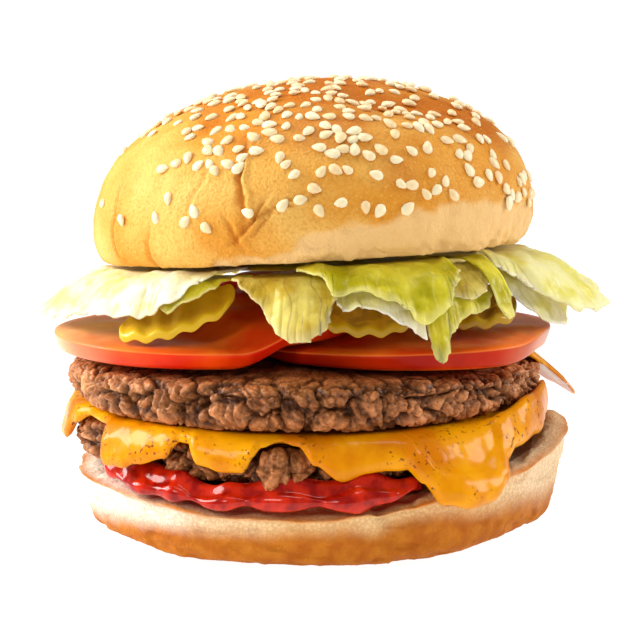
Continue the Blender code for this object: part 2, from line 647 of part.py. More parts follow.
def build_leaf(collection, name, spec):
    """An open grid laid on the leaf's surface, split into triangles and then given its thickness."""
    points = spec[3]
    across = max(6, min(LEAF_STEPS_ACROSS, len(points)))
    grid = bmesh.new()
    bmesh.ops.create_grid(grid, x_segments=across, y_segments=LEAF_STEPS_OUT, size=1.0)
    flat = np.array([v.co for v in grid.verts])
    u, v = (flat[:, 0] + 1) / 2, (flat[:, 1] + 1) / 2
    for vertex, point in zip(grid.verts, leaf_surface(u, v, spec)):
        vertex.co = point
    bmesh.ops.triangulate(grid, faces=grid.faces)
    bmesh.ops.recalc_face_normals(grid, faces=grid.faces)
    mesh = bpy.data.meshes.new(name)
    grid.to_mesh(mesh)
    grid.free()
    leaf = put_in(collection, name, mesh, "lettuce")
    wall = leaf.modifiers.new("Thickness", "SOLIDIFY")
    wall.thickness = LEAF_THICKNESS
    wall.offset = 0.0
    return leaf


def build_middle_leaf(collection):
    """The leaf that fills the middle, between the tomato and the crown, inside the hanging ones."""

    def outline(azimuth, upward):
        return (LEAF_INNER_RADIUS - 1.2 * MM) * (1.0 + 0.03 * ripple(azimuth, (2, 5), 31)) + 0.0 * upward

    def middle(x, y):
        rumple = 0.4 * MM * np.sin(x / (6.0 * MM)) * np.cos(y / (5.0 * MM))
        return leaf_level(x, y, 0) - 0.3 * MM + rumple

    shape = slab(
        (0.0, 0.0),
        outline,
        lambda x, y: middle(x, y) - LEAF_THICKNESS / 2,
        lambda x, y: middle(x, y) + LEAF_THICKNESS / 2,
        5.0,
    )
    return put_in(collection, "lettuce_middle", disc_mesh("lettuce_middle", 24, 6, shape), "lettuce")


def crown_point(azimuth, t):
    """The crown's skin for t from 0 on top to 1 in the middle of its cut face: dome, tuck, cut."""
    dome_end, tuck_end = 0.66, 0.84
    dome = np.clip(t / dome_end, 0.0, 1.0) * math.pi / 2
    tuck = np.clip((t - dome_end) / (tuck_end - dome_end), 0.0, 1.0) * math.pi / 2
    cut = np.clip((t - tuck_end) / (1.0 - tuck_end), 0.0, 1.0)
    full = CROWN_RADIUS * (1.0 + 0.008 * ripple(azimuth, (2, 3, 5), 21))
    radius = full * np.sin(dome) ** 0.93 - CROWN_TUCK * (1.0 - np.cos(tuck))
    radius = np.where(t > tuck_end, (full - CROWN_TUCK) * (1.0 - cut), radius)
    height = CROWN_WIDEST_ABOVE_CUT * (1.0 - np.sin(tuck)) + CROWN_DOME * np.cos(dome) ** 0.93
    x = CROWN_CENTRE[0] + radius * np.cos(azimuth)
    y = CROWN_CENTRE[1] + radius * np.sin(azimuth)
    dents = 0.0
    for at_x, at_y, size, depth in CROWN_DENTS:
        near = np.hypot(x / MM - at_x, y / MM - at_y) / size
        dents = dents + depth * MM * np.exp(-near * near)
    skin = np.where(t < dome_end, 1.0, 0.0)
    height = height - dents * skin * np.cos(dome) ** 0.5
    return np.stack([x, y, crown_cut(x, y) + height], axis=1)


# Shallow dents of the crown: x, y, size and depth in millimetres.
CROWN_DENTS = (
    (14, -25, 9, 2.6), (26, -20, 10, 2.0), (-24, -30, 6, 1.2), (20, 24, 12, 1.4), (-26, 20, 9, 1.0),
)


def seed_places():
    """Evenly scattered places on the dome, as (azimuth, t), thinning out towards the cut."""
    thrown = np.random.default_rng(7)
    kept, points = [], np.zeros((0, 3))
    for _ in range(9000):
        azimuth = thrown.uniform(-math.pi, math.pi)
        lift = thrown.uniform(0.0, 1.0)
        t = 0.655 * math.acos(1.0 - lift) / (math.pi / 2)
        if thrown.uniform(0.0, 1.0) > 1.0 - 0.72 * ease((lift - 0.3) / 0.7):
            continue
        point = crown_point(np.array([azimuth]), np.array([t]))[0]
        if len(kept) and np.min(np.linalg.norm(points - point, axis=1)) < SEED_SPACING:
            continue
        kept.append((azimuth, t))
        points = np.vstack([points, point])
        if len(kept) == SEED_COUNT:
            break
    return kept


def seed_mesh():
    """One sesame seed, a flattened drop that is narrower at one end, lying along its own x axis."""
    drop = bmesh.new()
    bmesh.ops.create_uvsphere(drop, u_segments=5, v_segments=4, radius=0.5)
    for vertex in drop.verts:
        x, y, z = vertex.co.z, vertex.co.x, vertex.co.y
        taper = 1.0 - 0.45 * (x + 0.5)
        vertex.co = (x * SEED_LENGTH, y * SEED_WIDTH * 1.2 * taper, z * SEED_THICKNESS * 1.2 * taper)
    bmesh.ops.recalc_face_normals(drop, faces=drop.faces)
    mesh = bpy.data.meshes.new("seed")
    drop.to_mesh(mesh)
    drop.free()
    return mesh


def build_crown(collection):
    """The dome with its seeds joined on by one union."""
    crown = put_in(collection, "bun_crown", disc_mesh("bun_crown", 32, 14, crown_point), "crown")
    seeds = bpy.data.collections.new("seeds")
    bpy.context.scene.collection.children.link(seeds)
    mesh = seed_mesh()
    turned = np.random.default_rng(8)
    for azimuth, t in seed_places():
        _, here, outward, _ = crown.closest_point_on_mesh(crown_point(np.array([azimuth]), np.array([t]))[0])
        spin = turned.uniform(0, 2 * math.pi)
        size = turned.uniform(0.88, 1.1)
        seed = bpy.data.objects.new("seed", mesh)
        lying = outward.to_track_quat("Z", "Y").to_matrix().to_4x4()
        seed.matrix_world = (
            Matrix.Translation(here + outward * SEED_LIFT)
            @ lying
            @ Matrix.Rotation(spin, 4, "Z")
            @ Matrix.Scale(size, 4)
        )
        seeds.objects.link(seed)
    union = crown.modifiers.new("Seeds", "BOOLEAN")
    union.operation = "UNION"
    union.operand_type = "COLLECTION"
    union.collection = seeds
    union.solver = "EXACT"
    bpy.context.view_layer.update()
    graph = bpy.context.evaluated_depsgraph_get()
    joined = bpy.data.meshes.new_from_object(crown.evaluated_get(graph))
    crown.modifiers.clear()
    crown.data = joined
    for seed in list(seeds.objects):
        bpy.data.objects.remove(seed)
    bpy.data.collections.remove(seeds)
    return crown


def main():
    start_clean()
    burger = bpy.data.collections.new("cheeseburger")
    bpy.context.scene.collection.children.link(burger)
    build_heel(burger)
    build_sauce(burger)
    build_patty(burger, "patty_lower", LOWER_CENTRE, LOWER_RADIUS, lower_patty_bottom, lower_patty_top, 5)
    build_lower_cheese(burger)
    build_patty(burger, "patty_upper", UPPER_CENTRE, UPPER_RADIUS, upper_patty_bottom, upper_patty_top, 6)
    build_upper_cheese(burger)
    build_tomatoes(burger)
    build_pickles(burger)
    build_middle_leaf(burger)
    for name, spec in LEAVES.items():
        build_leaf(burger, name, spec)
    build_crown(burger)


main()
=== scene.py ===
# %% [markdown]
# # A double cheeseburger, dressed for its photograph
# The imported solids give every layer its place. This lesson puts the real surfaces over them: a seeded
# crust, a crumbly patty, melted cheese, wet tomato, crinkled pickle and torn lettuce. Each surface is a
# formula on a grid.

# %% Load the frame
import math

import bpy
import numpy as np
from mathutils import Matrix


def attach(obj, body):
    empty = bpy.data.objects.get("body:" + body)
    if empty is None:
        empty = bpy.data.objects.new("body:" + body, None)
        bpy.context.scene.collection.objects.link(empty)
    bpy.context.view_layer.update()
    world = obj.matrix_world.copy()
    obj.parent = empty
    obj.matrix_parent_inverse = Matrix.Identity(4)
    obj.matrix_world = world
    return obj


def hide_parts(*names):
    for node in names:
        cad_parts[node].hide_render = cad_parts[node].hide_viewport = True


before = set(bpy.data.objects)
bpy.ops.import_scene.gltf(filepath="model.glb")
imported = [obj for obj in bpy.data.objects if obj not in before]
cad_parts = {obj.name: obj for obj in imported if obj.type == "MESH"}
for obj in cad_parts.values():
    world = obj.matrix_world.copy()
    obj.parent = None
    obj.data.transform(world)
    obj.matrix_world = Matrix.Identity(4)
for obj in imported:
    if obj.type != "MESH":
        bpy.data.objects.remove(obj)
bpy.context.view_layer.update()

# %% [markdown]
# ## The camera first
# The photograph was taken from a little above the table with a long lens, so the burger shows hardly any
# perspective. Half a metre away and 8 degrees up, a 118 mm lens frames it as in the picture.

# %% Camera
MM = 0.001
CAMERA_TARGET = np.array([0.0, 0.0, 48.1]) * MM
CAMERA_DISTANCE = 0.5
CAMERA_ELEVATION = math.radians(8.0)
LENS_MM = 118.1

camera = bpy.data.objects.new("camera", bpy.data.cameras.new("camera"))
camera.data.lens = LENS_MM
camera.data.sensor_width = 36.0
camera.data.clip_start = 0.01
backwards = np.array([0.0, -math.cos(CAMERA_ELEVATION), math.sin(CAMERA_ELEVATION)])
camera.location = CAMERA_TARGET + CAMERA_DISTANCE * backwards
camera.rotation_euler = (math.pi / 2 - CAMERA_ELEVATION, 0.0, 0.0)
bpy.context.scene.collection.objects.link(camera)
bpy.context.scene.camera = camera
print("camera at", np.round(np.array(camera.location), 3).tolist())

# %% [markdown]
# ## Studio
# A white table and a white room, one large soft light from the back left that nearly bleaches that side,
# one from above and a weaker one from the front right, so that the wet layers sparkle.

# %% Table, room and lights
TABLE_GLOW = 0.45
TABLE_SEEN = 0.97
ROOM_LIGHT = 0.26
ROOM_SEEN = 1.1
# Place in metres, size in metres, power in watts and warmth of each soft light, all aimed at the burger.
SOFT_LIGHTS = {
    "window_left": ((-0.75, 0.10, 0.45), 0.45, 10.0, (1.0, 0.99, 0.96)),
    "window_front_left": ((-0.45, -0.70, 0.55), 0.30, 2.6, (1.0, 0.99, 0.97)),
    "ceiling": ((0.05, 0.05, 0.90), 0.45, 3.5, (1.0, 1.0, 1.0)),
    "window_right": ((0.75, 0.05, 0.35), 0.35, 3.6, (1.0, 0.99, 0.96)),
}


def by_camera(tree, shed, seen):
    """Chooses between what a surface sheds on the food and what the camera sees of it."""
    ray = tree.nodes.new("ShaderNodeLightPath")
    either = tree.nodes.new("ShaderNodeMixShader")
    tree.links.new(ray.outputs["Is Camera Ray"], either.inputs[0])
    tree.links.new(shed.outputs[0], either.inputs[1])
    tree.links.new(seen.outputs[0], either.inputs[2])
    return either.outputs[0]


def glowing_white(tree, base, glow):
    """A matt white that also glows, so that it looks like paper under a lit tent."""
    shader = tree.nodes.new("ShaderNodeBsdfPrincipled")
    shader.inputs["Base Color"].default_value = (base, base, base, 1.0)
    shader.inputs["Roughness"].default_value = 0.7
    shader.inputs["Specular IOR Level"].default_value = 0.0
    shader.inputs["Emission Color"].default_value = (1.0, 1.0, 1.0, 1.0)
    shader.inputs["Emission Strength"].default_value = glow
    return shader


def plain_table():
    """A flat white square, far wider than the picture."""
    half = 3.0
    corners = [(-half, -half, 0), (half, -half, 0), (half, half, 0), (-half, half, 0)]
    mesh = bpy.data.meshes.new("table")
    mesh.from_pydata(corners, [], [(0, 1, 2, 3)])
    table = bpy.data.objects.new("table", mesh)
    bpy.context.scene.collection.objects.link(table)
    white = bpy.data.materials.new("table_white")
    white.use_nodes = True
    tree = white.node_tree
    tree.nodes.remove(tree.nodes["Principled BSDF"])
    paper = by_camera(tree, glowing_white(tree, 0.7, TABLE_GLOW), glowing_white(tree, 0.22, TABLE_SEEN))
    tree.links.new(paper, tree.nodes["Material Output"].inputs["Surface"])
    mesh.materials.append(white)


def soft_light(name, place, size, power, colour):
    """A square area light that looks at the middle of the burger."""
    lamp = bpy.data.lights.new(name, "AREA")
    lamp.size = size
    lamp.energy = power
    lamp.color = colour
    light = bpy.data.objects.new(name, lamp)
    light.location = place
    aim = np.array(place) - CAMERA_TARGET
    flat = math.hypot(aim[0], aim[1])
    light.rotation_euler = (math.atan2(flat, aim[2]), 0.0, math.atan2(aim[0], -aim[1]))
    bpy.context.scene.collection.objects.link(light)


def white_room():
    """A room that looks pure white but sheds less light than it shows, so that the lamps still model the
    food."""
    room = bpy.data.worlds.new("white_room")
    room.use_nodes = True
    tree = room.node_tree
    shed = tree.nodes["Background"]
    shed.inputs["Color"].default_value = (1.0, 1.0, 1.0, 1.0)
    shed.inputs["Strength"].default_value = ROOM_LIGHT
    seen = tree.nodes.new("ShaderNodeBackground")
    seen.inputs["Color"].default_value = (1.0, 1.0, 1.0, 1.0)
    seen.inputs["Strength"].default_value = ROOM_SEEN
    tree.links.new(by_camera(tree, shed, seen), tree.nodes["World Output"].inputs["Surface"])
    bpy.context.scene.world = room


bpy.context.scene.view_settings.view_transform = "Standard"
plain_table()
white_room()
for light_name, (place, size, power, colour) in SOFT_LIGHTS.items():
    soft_light(light_name, place, size, power, colour)
print("lights:", ", ".join(SOFT_LIGHTS))

# %% [markdown]
# ## Noise from scratch
# Food is uneven at every size. Two kinds of noise cover nearly all of it: value noise, which drifts
# smoothly, and cell noise, whose lumps and clefts are what minced meat looks like. Both are worked out
# for whole arrays of points.


# %% Hashing, value noise and cell noise
# Large primes that scramble the three coordinates of a cell, its seed and the result.
SCRAMBLE = (73856093, 19349663, 83492791)
SCRAMBLE_SEED = 2654435
SCRAMBLE_AGAIN = 1274126177


def hashed(cell, seed):
    """A number from 0 to 1 for each whole-numbered cell: its coordinates are multiplied, mixed and cut
    short."""
    mixed = seed * SCRAMBLE_SEED
    for axis, prime in enumerate(SCRAMBLE):
        mixed = mixed ^ (cell[..., axis] * prime)
    mixed = (mixed ^ (mixed >> 13)) * SCRAMBLE_AGAIN
    mixed = (mixed ^ (mixed >> 16)) & 0xFFFFF
    return mixed / float(0xFFFFF)


def ease(value):
    """0 up to 1 with a flat start and end, for value from 0 to 1."""
    held = np.clip(value, 0.0, 1.0)
    return held * held * (3.0 - 2.0 * held)


def drift(points, size, seed):
    """Value noise from -1 to 1: random values on a lattice of that size, blended by ease between its
    corners."""
    scaled = points / size
    base = np.floor(scaled).astype(np.int64)
    share = ease(scaled - base)
    total = 0.0
    for corner in np.ndindex(2, 2, 2):
        weight = np.prod(np.where(np.array(corner) == 1, share, 1.0 - share), axis=-1)
        total = total + weight * hashed(base + np.array(corner), seed)
    return 2.0 * total - 1.0


def rough(points, size, seed, octaves=3):
    """Sum of drift at size, size / 2, size / 4 and so on, each half as strong as the one before."""
    return sum(drift(points, size / 2**k, seed + k) / 2**k for k in range(octaves))


def bumps(points, height, size, seed, octaves=3):
    """Rough noise as a displacement: its height and the size of its largest waves are in millimetres."""
    return height * MM * rough(points, size * MM, seed, octaves)


def beyond(grid, start, run):
    """0 up to start from the burger's axis and 1 from start + run on, both in millimetres."""
    return ease((np.hypot(grid[..., 0], grid[..., 1]) - start * MM) / (run * MM))


# Radius of a lump and width of a cleft as shares of the lattice's size, and a distance past every centre.
LUMP_RADIUS = 0.85
CLEFT_WIDTH = 0.25
FAR = 9.0


def lumps(points, size, seed):
    """Cell noise: (height of a round lump about the nearest scattered centre, depth of the cleft between
    lumps, a random value for each lump), all from 0 to 1. The centres are one to each cell of a
    lattice."""
    scaled = points / size
    base = np.floor(scaled).astype(np.int64)
    nearest = np.full(points.shape[:-1], FAR)
    second = np.full(points.shape[:-1], FAR)
    owner = np.zeros(points.shape[:-1])
    for step in np.ndindex(3, 3, 3):
        cell = base + np.array(step) - 1
        centre = cell + np.stack([hashed(cell, seed + k) for k in range(3)], axis=-1)
        distance = np.linalg.norm(centre - scaled, axis=-1)
        closer = distance < nearest
        second = np.minimum(second, np.where(closer, nearest, distance))
        owner = np.where(closer, hashed(cell, seed + 7), owner)
        nearest = np.where(closer, distance, nearest)
    dome = np.sqrt(np.clip(1.0 - (nearest / LUMP_RADIUS) ** 2, 0.0, 1.0))
    return dome, 1.0 - ease((second - nearest) / CLEFT_WIDTH), owner


print("noise ready")

# %% [markdown]
# ## From formula to mesh
# Every piece is a grid of points: columns run round the burger, rows run over the piece. A closed piece
# gets a point at each pole, so it holds water. Values such as the depth of a cleft ride along as
# attributes for materials.


# %% Grids into meshes
def outward_normals(grid):
    """Unit normals of a grid that closes round: the cross product of its slopes along rows and
    columns."""
    down = np.gradient(grid, axis=0)
    round_about = np.roll(grid, -1, axis=1) - np.roll(grid, 1, axis=1)
    normals = np.cross(down, round_about)
    return normals / np.maximum(np.linalg.norm(normals, axis=-1, keepdims=True), 1e-12)


def mesh_object(name, vertices, faces, material, attributes):
    """A smooth mesh of these points and faces, with one number a point for each attribute."""
    mesh = bpy.data.meshes.new(name)
    mesh.from_pydata(vertices.tolist(), [], faces)
    for label, values in attributes.items():
        attribute = mesh.attributes.new(label, "FLOAT", "POINT")
        attribute.data.foreach_set("value", np.ascontiguousarray(values, np.float32))
    mesh.materials.append(material)
    mesh.shade_smooth()
    made = bpy.data.objects.new(name, mesh)
    bpy.context.scene.collection.objects.link(made)
    return made


def closed_faces(rows, columns):
    """(quads, triangles) of a grid that closes round, with its two poles as the last two points."""
    row, column = np.arange(rows - 1)[:, None], np.arange(columns)[None, :]
    here = row * columns + column
    beside = row * columns + (column + 1) % columns
    quads = np.stack([here, here + columns, beside + columns, beside], axis=-1).reshape(-1, 4)
    first = np.arange(columns)
    after = (first + 1) % columns
    last = (rows - 1) * columns
    north, south = rows * columns, rows * columns + 1
    top = np.stack([np.full(columns, north), first, after], axis=-1)
    bottom = np.stack([np.full(columns, south), last + after, last + first], axis=-1)
    return quads, np.concatenate([top, bottom])


def closed_piece(name, grid, material, **attributes):
    """A grid of rows from pole to pole, closed round, with a fan of triangles at each pole."""
    quads, fans = closed_faces(*grid.shape[:2])
    vertices = np.concatenate([grid.reshape(-1, 3), [grid[0].mean(axis=0)], [grid[-1].mean(axis=0)]])
    carried = {
        label: np.concatenate([values.ravel(), [values[0].mean()], [values[-1].mean()]])
        for label, values in attributes.items()
    }
    return mesh_object(name, vertices, quads.tolist() + fans.tolist(), material, carried)


def open_sheet(name, grid, material, thickness, **attributes):
    """A grid with four free edges, made solid by a live Solidify modifier."""
    rows, columns = grid.shape[:2]
    row, column = np.arange(rows - 1)[:, None], np.arange(columns - 1)[None, :]
    here = row * columns + column
    quads = np.stack([here, here + 1, here + columns + 1, here + columns], axis=-1).reshape(-1, 4)
    carried = {label: values.ravel() for label, values in attributes.items()}
    made = mesh_object(name, grid.reshape(-1, 3), quads.tolist(), material, carried)
    wall = made.modifiers.new("Thickness", "SOLIDIFY")
    wall.thickness = thickness
    wall.offset = 0.0
    return made


def stands_for(piece, node):
    """The piece rides on the one body and replaces that solid, which is hidden."""
    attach(piece, "root")
    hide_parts(node)
    print(f"{piece.name}: {len(piece.data.polygons)} faces")
    return piece


def pole_to_pole(rows):
    """Shares t from 0 to 1 in equal steps, none of them at a pole."""
    return (np.arange(rows) + 0.5) / rows


def polar(columns, t):
    """Azimuths round a piece for each share in t, as two arrays of rows by columns."""
    azimuth = np.linspace(-math.pi, math.pi, columns, endpoint=False)
    return np.broadcast_to(azimuth, (len(t), columns)), np.broadcast_to(t[:, None], (len(t), columns))


# %% [markdown]
# ## Materials, a small kit
# All the finishes are Principled shaders. What differs is where their colour comes from: attributes that
# were worked out with the shape, and noise in object space for what is finer than the mesh.


# %% Helpers for node trees
# Refraction index for wet layers: lower than real, which keeps the white room from bleaching them at
# grazing angles.
WET_IOR = 1.3


def finish(name, roughness=0.5, **sockets):
    """A material with a Principled shader whose plain sockets are set by name: (material, tree,
    shader)."""
    material = bpy.data.materials.new(name)
    material.use_nodes = True
    shader = material.node_tree.nodes["Principled BSDF"]
    shader.inputs["Roughness"].default_value = roughness
    for label, value in sockets.items():
        shader.inputs[label.replace("_", " ")].default_value = value
    return material, material.node_tree, shader


def value_of(tree, label):
    """The attribute of that name, as a number."""
    node = tree.nodes.new("ShaderNodeAttribute")
    node.attribute_name = label
    return node.outputs["Fac"]


def blend(tree, share, low, high, mode="MIX"):
    """Mixes two colours, each a tuple or another node's output."""
    node = tree.nodes.new("ShaderNodeMix")
    node.data_type = "RGBA"
    node.blend_type = mode
    factor, first, second = node.inputs[0], node.inputs[6], node.inputs[7]
    for socket, value in ((factor, share), (first, low), (second, high)):
        if isinstance(value, bpy.types.NodeSocket):
            tree.links.new(value, socket)
        elif isinstance(value, tuple):
            socket.default_value = (*value, 1.0)
        else:
            socket.default_value = value
    return node.outputs[2]


def spread(tree, value, low, high, to_low=0.0, to_high=1.0):
    """Maps low to high smoothly onto to_low to to_high."""
    node = tree.nodes.new("ShaderNodeMapRange")
    node.interpolation_type = "SMOOTHSTEP"
    tree.links.new(value, node.inputs["Value"])
    for label, number in (("From Min", low), ("From Max", high), ("To Min", to_low), ("To Max", to_high)):
        node.inputs[label].default_value = number
    return node.outputs["Result"]


def mottled(tree, scale, low, high, detail=4.0, between=(0.35, 0.65)):
    """Two colours in clouds: the noise's values in between go smoothly from the first to the second."""
    return blend(tree, spread(tree, mottle(tree, scale, detail), *between), low, high)


def effect_group(name, inputs, output):
    """An empty group of nodes with numbers for inputs and one number out: (group, its input node, its
    output node)."""
    group = bpy.data.node_groups.new(name, "ShaderNodeTree")
    for label, default in inputs.items():
        socket = group.interface.new_socket(label, in_out="INPUT", socket_type="NodeSocketFloat")
        socket.default_value = default
    group.interface.new_socket(output, in_out="OUTPUT", socket_type="NodeSocketFloat")
    return group, group.nodes.new("NodeGroupInput"), group.nodes.new("NodeGroupOutput")


def mottle_group():
    """Cloudy noise in object space, from 0 to 1."""
    inputs = {"Scale": 100.0, "Detail": 4.0, "Distortion": 0.0}
    group, given, result = effect_group("mottle", inputs, "Share")
    place = group.nodes.new("ShaderNodeTexCoord")
    noise = group.nodes.new("ShaderNodeTexNoise")
    group.links.new(place.outputs["Object"], noise.inputs["Vector"])
    for label in ("Scale", "Detail", "Distortion"):
        group.links.new(given.outputs[label], noise.inputs[label])
    group.links.new(noise.outputs["Fac"], result.inputs["Share"])
    return group


def grain_group():
    """Granules in object space: rounded cells over cloudy noise of the same size, mixed by Roundness."""
    group, given, result = effect_group("grain", {"Scale": 1000.0, "Roundness": 0.5}, "Height")
    place = group.nodes.new("ShaderNodeTexCoord")
    noise = group.nodes.new("ShaderNodeTexNoise")
    cells = group.nodes.new("ShaderNodeTexVoronoi")
    flip = group.nodes.new("ShaderNodeMath")
    both = group.nodes.new("ShaderNodeMix")
    noise.inputs["Detail"].default_value = 5.0
    flip.operation = "SUBTRACT"
    flip.inputs[0].default_value = 1.0
    for texture in (noise, cells):
        group.links.new(place.outputs["Object"], texture.inputs["Vector"])
        group.links.new(given.outputs["Scale"], texture.inputs["Scale"])
    group.links.new(cells.outputs["Distance"], flip.inputs[1])
    group.links.new(given.outputs["Roundness"], both.inputs[0])
    group.links.new(noise.outputs["Fac"], both.inputs[2])
    group.links.new(flip.outputs[0], both.inputs[3])
    group.links.new(both.outputs[0], result.inputs["Height"])
    return group


EFFECTS = {"mottle": mottle_group(), "grain": grain_group()}


def effect(tree, name, **values):
    """One of the groups in EFFECTS, placed in a material with its own values."""
    node = tree.nodes.new("ShaderNodeGroup")
    node.node_tree = EFFECTS[name]
    for label, value in values.items():
        node.inputs[label].default_value = value
    return node.outputs[0]


def mottle(tree, scale, detail=4.0, distortion=0.0):
    """Cloudy noise from 0 to 1; a larger scale makes smaller clouds."""
    return effect(tree, "mottle", Scale=scale, Detail=detail, Distortion=distortion)


def relief(tree, shader, height, strength, distance):
    """Bumps the shader's normal by that height."""
    node = tree.nodes.new("ShaderNodeBump")
    node.inputs["Strength"].default_value = strength
    node.inputs["Distance"].default_value = distance
    tree.links.new(height, node.inputs["Height"])
    tree.links.new(node.outputs["Normal"], shader.inputs["Normal"])


def paint(tree, shader, colour):
    """Links a colour to the shader's base colour."""
    tree.links.new(colour, shader.inputs["Base Color"])


print("material kit ready")

# %% [markdown]
# ## The layers' common faces
# Neighbouring layers of a burger press on each other, so they share their faces. These height fields are
# the ones that the solids were made from, in metres above the table.

# %% Height fields
FIT = 0.35 * MM
HEEL_RADIUS = 58.2 * MM
HEEL_CENTRE = (0.5 * MM, 0.0)
HEEL_RIM_HEIGHT = 18.4 * MM
HEEL_DISH = 1.4 * MM
HEEL_SLOPE_X = 0.043
HEEL_SLOPE_Y = 0.035
HEEL_RING_TO = 56.5 * MM
HEEL_TAPER = 3.8 * MM
HEEL_FOOT_LIFT = 1.8 * MM
HEEL_SQUARENESS = 6.5
SAUCE_THICKNESS = 1.5 * MM
CHEESE_THICKNESS = 2.1 * MM
TOP_CHEESE_THICKNESS = 1.5 * MM
LOWER_TOP = 28.9 * MM
UPPER_TOP = 41.6 * MM
PATTY_SLOPE_Y = 0.015
UPPER_SLOPE_X = 0.02
LOWER_CENTRE = np.array([-3.0, 0.0]) * MM
LOWER_RADIUS = 52.6 * MM
UPPER_CENTRE = np.array([-4.0, -1.0]) * MM
UPPER_RADIUS = 54.4 * MM
# Height of the heel's rim, in millimetres, by azimuth: it curls up at the right.
HEEL_RIM = {
    -175: 16.3, -160: 16.6, -148: 17.3, -129: 16, -111: 14.8, -90: 14.9, -78: 16.4, -71: 17.8, -55: 20.4,
    -40: 22.6, -25: 24.4, -12: 26.4, 0: 27.8, 14: 26.4, 35: 22, 90: 18.6, 140: 17.4,
}
# Where the heel's bed begins to rise to its rim, by azimuth.
HEEL_RING_FROM = {-62: 50, -36: 46, 14: 46, 36: 50}


def heel_bed(x, y):
    """The dished, slightly tilted cut that the lower patty lies on."""
    radius = np.hypot(x, y) / HEEL_RADIUS
    dish = HEEL_DISH * (1.0 - np.clip(radius, 0, 1) ** 2)
    return HEEL_RIM_HEIGHT + HEEL_SLOPE_X * x + HEEL_SLOPE_Y * y - dish


def heel_top(x, y):
    """The bed, whose outermost ring rises or falls to the height of the rim."""
    bed = heel_bed(x, y)
    rim = around(np.arctan2(y, x), HEEL_RIM) * MM
    begins = around(np.arctan2(y, x), HEEL_RING_FROM) * MM
    return bed + (rim - bed) * ease((np.hypot(x, y) - begins) / (HEEL_RING_TO - begins))


def heel_foot(x, y):
    """Flat on the table, and rounded up from it at the right."""
    return HEEL_FOOT_LIFT * ease((x - 15 * MM) / (30 * MM)) * ease((np.hypot(x, y) - 38 * MM) / (14 * MM))


def lower_patty_bottom(x, y):
    return heel_bed(x, y) + FIT + SAUCE_THICKNESS + FIT


def lower_patty_top(x, y):
    return LOWER_TOP + PATTY_SLOPE_Y * y


def upper_patty_bottom(x, y):
    return lower_patty_top(x, y) + FIT + CHEESE_THICKNESS + FIT


def upper_patty_top(x, y):
    return UPPER_TOP - UPPER_SLOPE_X * np.maximum(x, 0.0) - PATTY_SLOPE_Y * y


# Share of a slab's radius inside which other layers cover it, and how much its faces count there.
HIDDEN_FROM = 0.84
HIDDEN_WEIGHT = 0.08


def ripple(azimuth, turns, seed):
    """An uneven wave round a disc, from -1 to 1: a few sines whose phases come from the seed."""
    phases = np.random.default_rng(seed).uniform(0, 2 * math.pi, len(turns))
    return sum(np.sin(n * azimuth + p) for n, p in zip(turns, phases)) / len(turns)


def around(azimuth, knots):
    """A value that follows {azimuth in degrees: value} all the way round, easing from each one to the
    next."""
    at = np.array(sorted(knots), float)
    value = np.array([knots[int(k)] for k in at], float)
    at = np.concatenate([at, at[:1] + 360.0])
    value = np.concatenate([value, value[:1]])
    degrees = (np.degrees(azimuth) - at[0]) % 360.0 + at[0]
    after = np.clip(np.searchsorted(at, degrees, side="right"), 1, len(at) - 1)
    share = ease((degrees - at[after - 1]) / (at[after] - at[after - 1]))
    return value[after - 1] + (value[after] - value[after - 1]) * share


def superellipse(t, squareness):
    """(how far out, how high) from -1 to 1: sine and cosine of pi t, each to the power 2 / squareness."""
    power = 2.0 / squareness
    upward = np.cos(math.pi * t)
    return np.abs(np.sin(math.pi * t)) ** power, np.sign(upward) * np.abs(upward) ** power


def wall_first(rows, squareness, radius, height):
    """Shares t that space the rows evenly along a superellipse, which equal steps of t would leave bare
    at its wall. The faces inside HIDDEN_FROM of the radius, which other layers cover, count for
    little."""
    s = np.linspace(-1.0, 1.0, 8001)
    t = 0.5 + 0.5 * s**3
    radial, upward = superellipse(t, squareness)
    weight = np.where(radial[1:] < HIDDEN_FROM, HIDDEN_WEIGHT, 1.0)
    steps = np.hypot(np.diff(radial) * radius * weight, np.diff(upward) * height / 2)
    length = np.concatenate([[0.0], np.cumsum(steps)])
    return np.interp(pole_to_pole(rows) * length[-1], length, t)


def slab(azimuth, t, centre, outline, bottom, top, squareness):
    """A slab with rounded edges between two height fields, with a superellipse for its section."""
    radial, upward = superellipse(t, squareness)
    radius = outline(azimuth, upward) * radial
    x = centre[0] + radius * np.cos(azimuth)
    y = centre[1] + radius * np.sin(azimuth)
    low, high = bottom(x, y), top(x, y)
    return np.stack([x, y, low + (high - low) * (1.0 + upward) / 2.0], axis=-1)


print("rim of the heel in front, mm:", round(float(heel_top(0.0, -HEEL_RADIUS)) / MM, 1))

# %% [markdown]
# ## Heel of the bun
# The bottom half was cut with a knife, so its rim is a thin toasted lip above pale bread, and below that
# the crust browns towards the tin. The shape is the solid's own slab with wrinkles and pores; the colour
# follows height.


# %% Heel
# Share of the heel's height above which the bread stays pale, by azimuth.
HEEL_PALE_FROM = {
    -170: 0.16, -150: 0.24, -130: 0.36, -110: 0.48, -90: 0.54, -70: 0.50, -50: 0.40, -30: 0.26, 0: 0.26,
    45: 0.45, 90: 0.50, 140: 0.40,
}
# Painted light: how white the bread under the lip is painted where the strong light bleaches it, most at
# the left, and how far ketchup soaks into the cut, by azimuth.
HEEL_FLOUR = {-180: 0.9, -150: 1.0, -128: 0.8, -112: 0.2, -95: 0, -60: 0, -30: 0.3, 0: 0.3, 90: 0.4}
HEEL_SOAK = {-144: 0, -130: 0.8, -72: 0.9, -58: 0.25, -40: 0, 90: 0}
# Where on the heel's side, as a share of its height, the cut lip stands out.
LIP_PLACE = 0.858
LIP_WIDTH = 0.034
